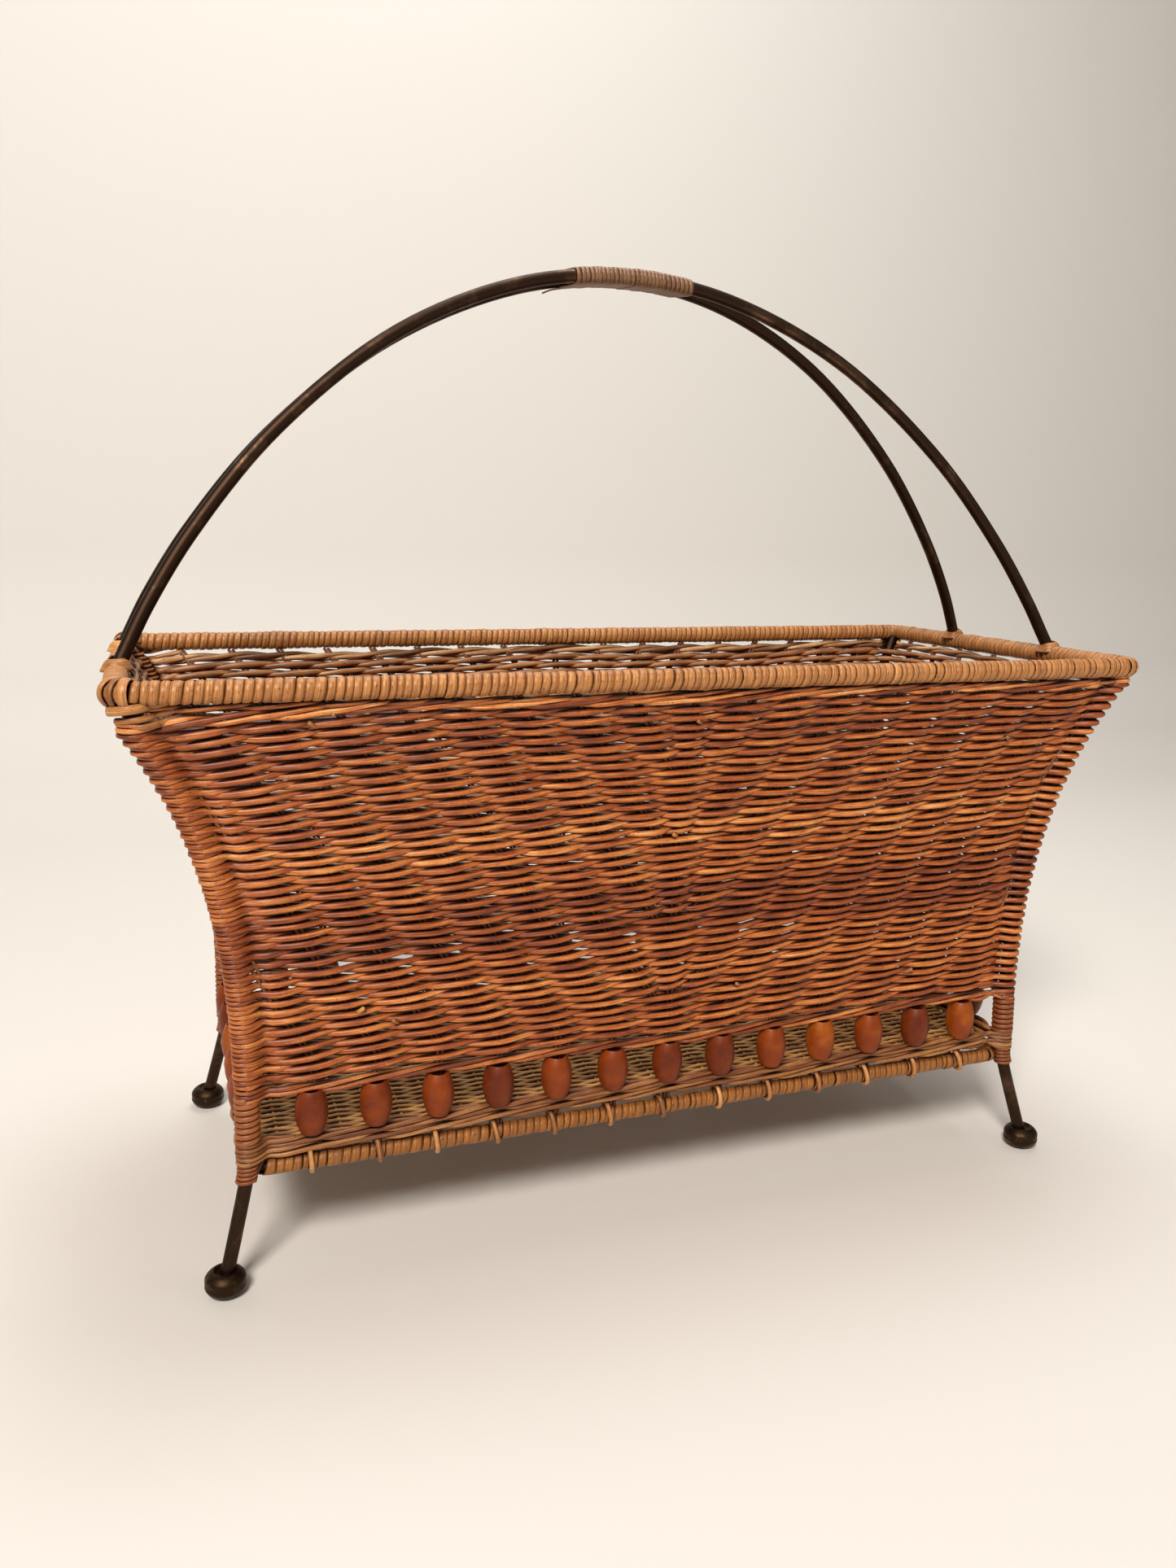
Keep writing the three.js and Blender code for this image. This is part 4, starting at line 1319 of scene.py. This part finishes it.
# %% Cones round the handle's feet
cone_turns = 2.4
cone_steps = 20
cone_foot_radius = 6.1
cone_narrowing = 2.1
cone_start = 2.4
cone_rise = 4.0
cone_lean = 0.75
cone_inset = 0.4
cone_half_sizes = (0.6, 2.3)
cane_parts = []
turn = np.arange(int(cone_turns * cone_steps) + 1) / cone_steps
share = turn / turn[-1]
radial = circle(2 * np.pi * turn, rightward, backward)
slope = unit(radial + cone_lean * upward)
for side_x, side_y, corner in corners:
    foot_place = np.array([side_x * (rim_half[0] - cone_inset), side_y * handle_foot_y, 0])
    centre = foot_place + radial * (cone_foot_radius - cone_narrowing * share)[:, None]
    centre[:, 2] = rim_height + cone_start + cone_rise * share
    cane_parts.append(strand(centre, slope, *cone_half_sizes, lashing_sides))
print("cones:", len(cane_parts))

# %% [markdown]
# At the two left corners thick round cane lashes the rim down on the post: three bands under the
# rim, whose ends run off along the wall, and three straps that cross over the corner. Bands are
# given by height and half width, straps by their angle round the corner and half width.

# %% Lash the left corners
bands = [(264.6, 2.0), (260.4, 1.35), (257.4, 1.3)]
straps = [(22, 1.9), (48, 1.5), (70, 2.1)]
corner_cane_sides = 10
band_thick = 0.95
band_gap = 1.2
band_seat = 0.5
band_span = (-60, 150)
band_points = 26
band_drop, band_rise = -1.6, 1.8
tail_start, tail_stop = 2, 14
tail_points = 6
tail_inward = 0.08
tail_climb = 0.24
strap_thick = 0.8
strap_gap = 0.35
strap_span = (-95, 175)
strap_points = 18
inner = rim_half - ring_corner_radius
for side_y in (-1, 1):
    for height, band_half in bands:
        turn = np.radians(np.linspace(*band_span, band_points))
        facing = circle(turn, -rightward, side_y * backward)
        reach = loop_radius(height) + band_gap + band_half * band_seat
        path = post_point(-1, side_y, height) + facing * reach
        path[:, 2] = height + np.linspace(band_drop, band_rise, band_points)
        tail_way = [1.0, -side_y * tail_inward, tail_climb]
        tail = path[-1] + np.outer(np.linspace(tail_start, tail_stop, tail_points), tail_way)
        outward = np.vstack([facing, np.tile(side_y * backward, (tail_points, 1))])
        band = strand(np.vstack([path, tail]), outward, band_thick, band_half, corner_cane_sides)
        cane_parts.append(band)
    for corner_angle, strap_half in straps:
        bend = np.radians(corner_angle)
        facing = np.array([-np.cos(bend), side_y * np.sin(bend), 0])
        tube = np.array([-inner[0], side_y * inner[1], rim_height]) + facing * ring_corner_radius
        radial = circle(np.radians(np.linspace(*strap_span, strap_points)), facing, upward)
        path = tube + radial * (rim_binding_radius + strap_gap)
        cane_parts.append(strand(path, radial, strap_thick, strap_half, corner_cane_sides))
make_piece("rim_lashings", cane_parts, honey_cane)

# %% [markdown]
# Round cane is coiled on each post through the bead band, and finer cane below it, where the post
# passes the rail. On the left posts a fine coil also fills in behind the loops of the rows up to
# the rim, so that no bare rod shows. A coil is a helix about the post's own curve.

# %% Coils on the posts
coil_sides = 8
coil_flatness = 1.05
bead_coil = {"low": 66.4, "high": 88.4, "outside": 1.35, "pitch": 2.85, "half": 1.38, "steps": 14}
rail_coil = {"low": 48.2, "high": 57.6, "outside": 0.85, "pitch": 1.95, "half": 0.92, "steps": 14}
loop_coil = {"low": 93.0, "high": 266.0, "outside": 0.6, "pitch": 2.1, "half": 0.8, "steps": 10}


def coil(side_x, side_y, low, high, outside, pitch, half, steps):
    """Round cane about a post from one height to another, its middle this far outside the rod."""
    turns = (high - low) / pitch
    angle = np.arange(int(turns * steps) + 1) / steps
    middle = np.array([post_point(side_x, side_y, height) for height in low + angle * pitch])
    radial = circle(2 * np.pi * angle, rightward, backward)
    return strand(middle + radial * (rod_radius + outside), radial, half, half * coil_flatness, coil_sides)


for side_x, side_y, corner in corners:
    coil_sizes = [bead_coil, rail_coil] + ([loop_coil] if side_x < 0 else [])
    coils = [coil(side_x, side_y, **sizes) for sizes in coil_sizes]
    make_piece(f"post_coil_{corner}", coils, wrap_cane, [f"post_wrap_{corner}"])

# %% [markdown]
# The grip is one long strip wound round both handle rods, so each turn is a stadium: half round
# the front rod, straight over to the back one, half round that. The turns follow the arch. They
# slant, because the winding sits further to the left on the back rod than on the front one, and a
# loose tail of the strip hangs off at the left end.

# %% Grip
grip_low, grip_high = low_high("grip_binding")
grip_turns = 28
grip_steps = 28
grip_sides = 8
grip_strip_half = 0.55
grip_strip_wide = 1.2
grip_end_gap = 1.5
grip_shear = (-1.5, -8.0)
grip_gap_spread = 0.12
grip_bulge_spread = 0.12
crossing_sharpness = 4
front_arch = handle_path(-1)
front_arch = front_arch[np.argsort(front_arch[:, 0])]


def front_rod(along):
    """The front rod's place across the basket and its height at each place along it."""
    return [np.interp(along, front_arch[:, 0], front_arch[:, axis]) for axis in (1, 2)]


whole_turns = np.arange(grip_turns + 1)
angle = np.arange(grip_turns * grip_steps + 1) / grip_steps
turn_gaps = 1 + rng.normal(0, grip_gap_spread, grip_turns)
turn_starts = np.concatenate([[0], np.cumsum(turn_gaps)]) / turn_gaps.sum()
share = np.interp(angle, whole_turns, turn_starts)
side_of_rod = np.tanh(crossing_sharpness * np.cos(2 * np.pi * angle))
along = grip_low[0] + grip_end_gap + (grip_high[0] - grip_low[0] - 2 * grip_end_gap) * share
along = along + np.interp(side_of_rod, (-1, 1), grip_shear)
rod_y, rod_z = front_rod(along)
radial = circle(2 * np.pi * angle, backward, upward)
middle = np.stack([along, -rod_y * side_of_rod, rod_z], -1)
bulge = np.interp(angle, whole_turns, rng.normal(0, grip_bulge_spread, grip_turns + 1))
loops = middle + radial * (rod_radius + grip_strip_half + bulge)[:, None]
grip = strand(loops, radial, grip_strip_half, grip_strip_wide, grip_sides)

tail_half = 0.45
tail_along = grip_low[0] + grip_shear[0] + np.array([4.0, -2.0, -7.0, -11.0])
tail_hang = np.array([0.5, 0.5, 0.7, 1.6])
tail_span_points = 4
rod_y, rod_z = front_rod(tail_along)
tail = smooth_path(np.stack([tail_along, -rod_y, rod_z - rod_radius - tail_hang], -1), tail_span_points)
grip_tail = strand(tail, (0, 0, -1), tail_half, grip_strip_wide, grip_sides)
make_piece("wound_grip", [grip, grip_tail], grip_cane, ["grip_binding"])

# %% [markdown]
# The studio is a pale floor that curves up into a pale wall. Its sweep is given as distance to the
# back and height, in metres like the lamps. It is matt paint, which gives the eye nothing but its
# tone and the basket's shadow.

# %% Floor and backdrop
backdrop_half_width = 3.0
sweep = [(-2.2, 0.0), (0.75, 0.0), (0.95, 0.03), (1.08, 0.13), (1.14, 0.3), (1.15, 3.0)]
matt_paint, tree = new_material("matt_backdrop_paint")
plain = add_node(
    tree, "ShaderNodeBsdfPrincipled", {"Base Color": linear("DAD6D0"), "Roughness": 0.85},
).outputs[0]
add_node(tree, "ShaderNodeOutputMaterial", links={"Surface": plain})
mesh = bpy.data.meshes.new("backdrop")
floor_points = [(x, y, z) for y, z in sweep for x in (-backdrop_half_width, backdrop_half_width)]
floor_faces = [(2 * s, 2 * s + 1, 2 * s + 3, 2 * s + 2) for s in range(len(sweep) - 1)]
mesh.from_pydata(floor_points, [], floor_faces)
mesh.shade_smooth()
mesh.materials.append(matt_paint)
backdrop = bpy.data.objects.new("backdrop", mesh)
bpy.context.collection.objects.link(backdrop)
print("backdrop faces:", len(floor_faces))

# %% [markdown]
# The basket is lit softly from the upper left and filled from the front, with a dim even sky. The
# lamps are kept plain, so that the finishes look the same under other light. Each is given by its
# name, place, size and power, and a colour that is nearly white.

# %% Lamps and sky
middle_of_basket = np.array([0, 0, 0.2])
sky_strength = 0.09
lamps = [
    ("key", (-1.05, -1.75, 2.05), 0.75, 81.0, "FFF8F0"),
    ("fill", (1.4, -1.2, 0.9), 1.0, 4.0, "FFF6EC"),
    ("top", (0.2, 0.3, 2.0), 1.0, 20.0, "FFFFFF"),
]
for name, place, size, power, code in lamps:
    lamp = bpy.data.objects.new(name, bpy.data.lights.new(name, "AREA"))
    lamp.data.size = size
    lamp.data.energy = power
    lamp.data.color = linear(code)[:3]
    forward = unit(middle_of_basket - place)
    side = unit(np.cross(forward, upward))
    lamp.matrix_world = aimed(place, side, np.cross(side, forward), forward)
    bpy.context.collection.objects.link(lamp)
world = bpy.data.worlds.new("studio")
world.use_nodes = True
sky = world.node_tree.nodes["Background"]
sky.inputs["Color"].default_value = linear("F4F1EC")
sky.inputs["Strength"].default_value = sky_strength
bpy.context.scene.world = world
bpy.context.scene.view_settings.view_transform = "Standard"
print("lamps:", len(lamps))
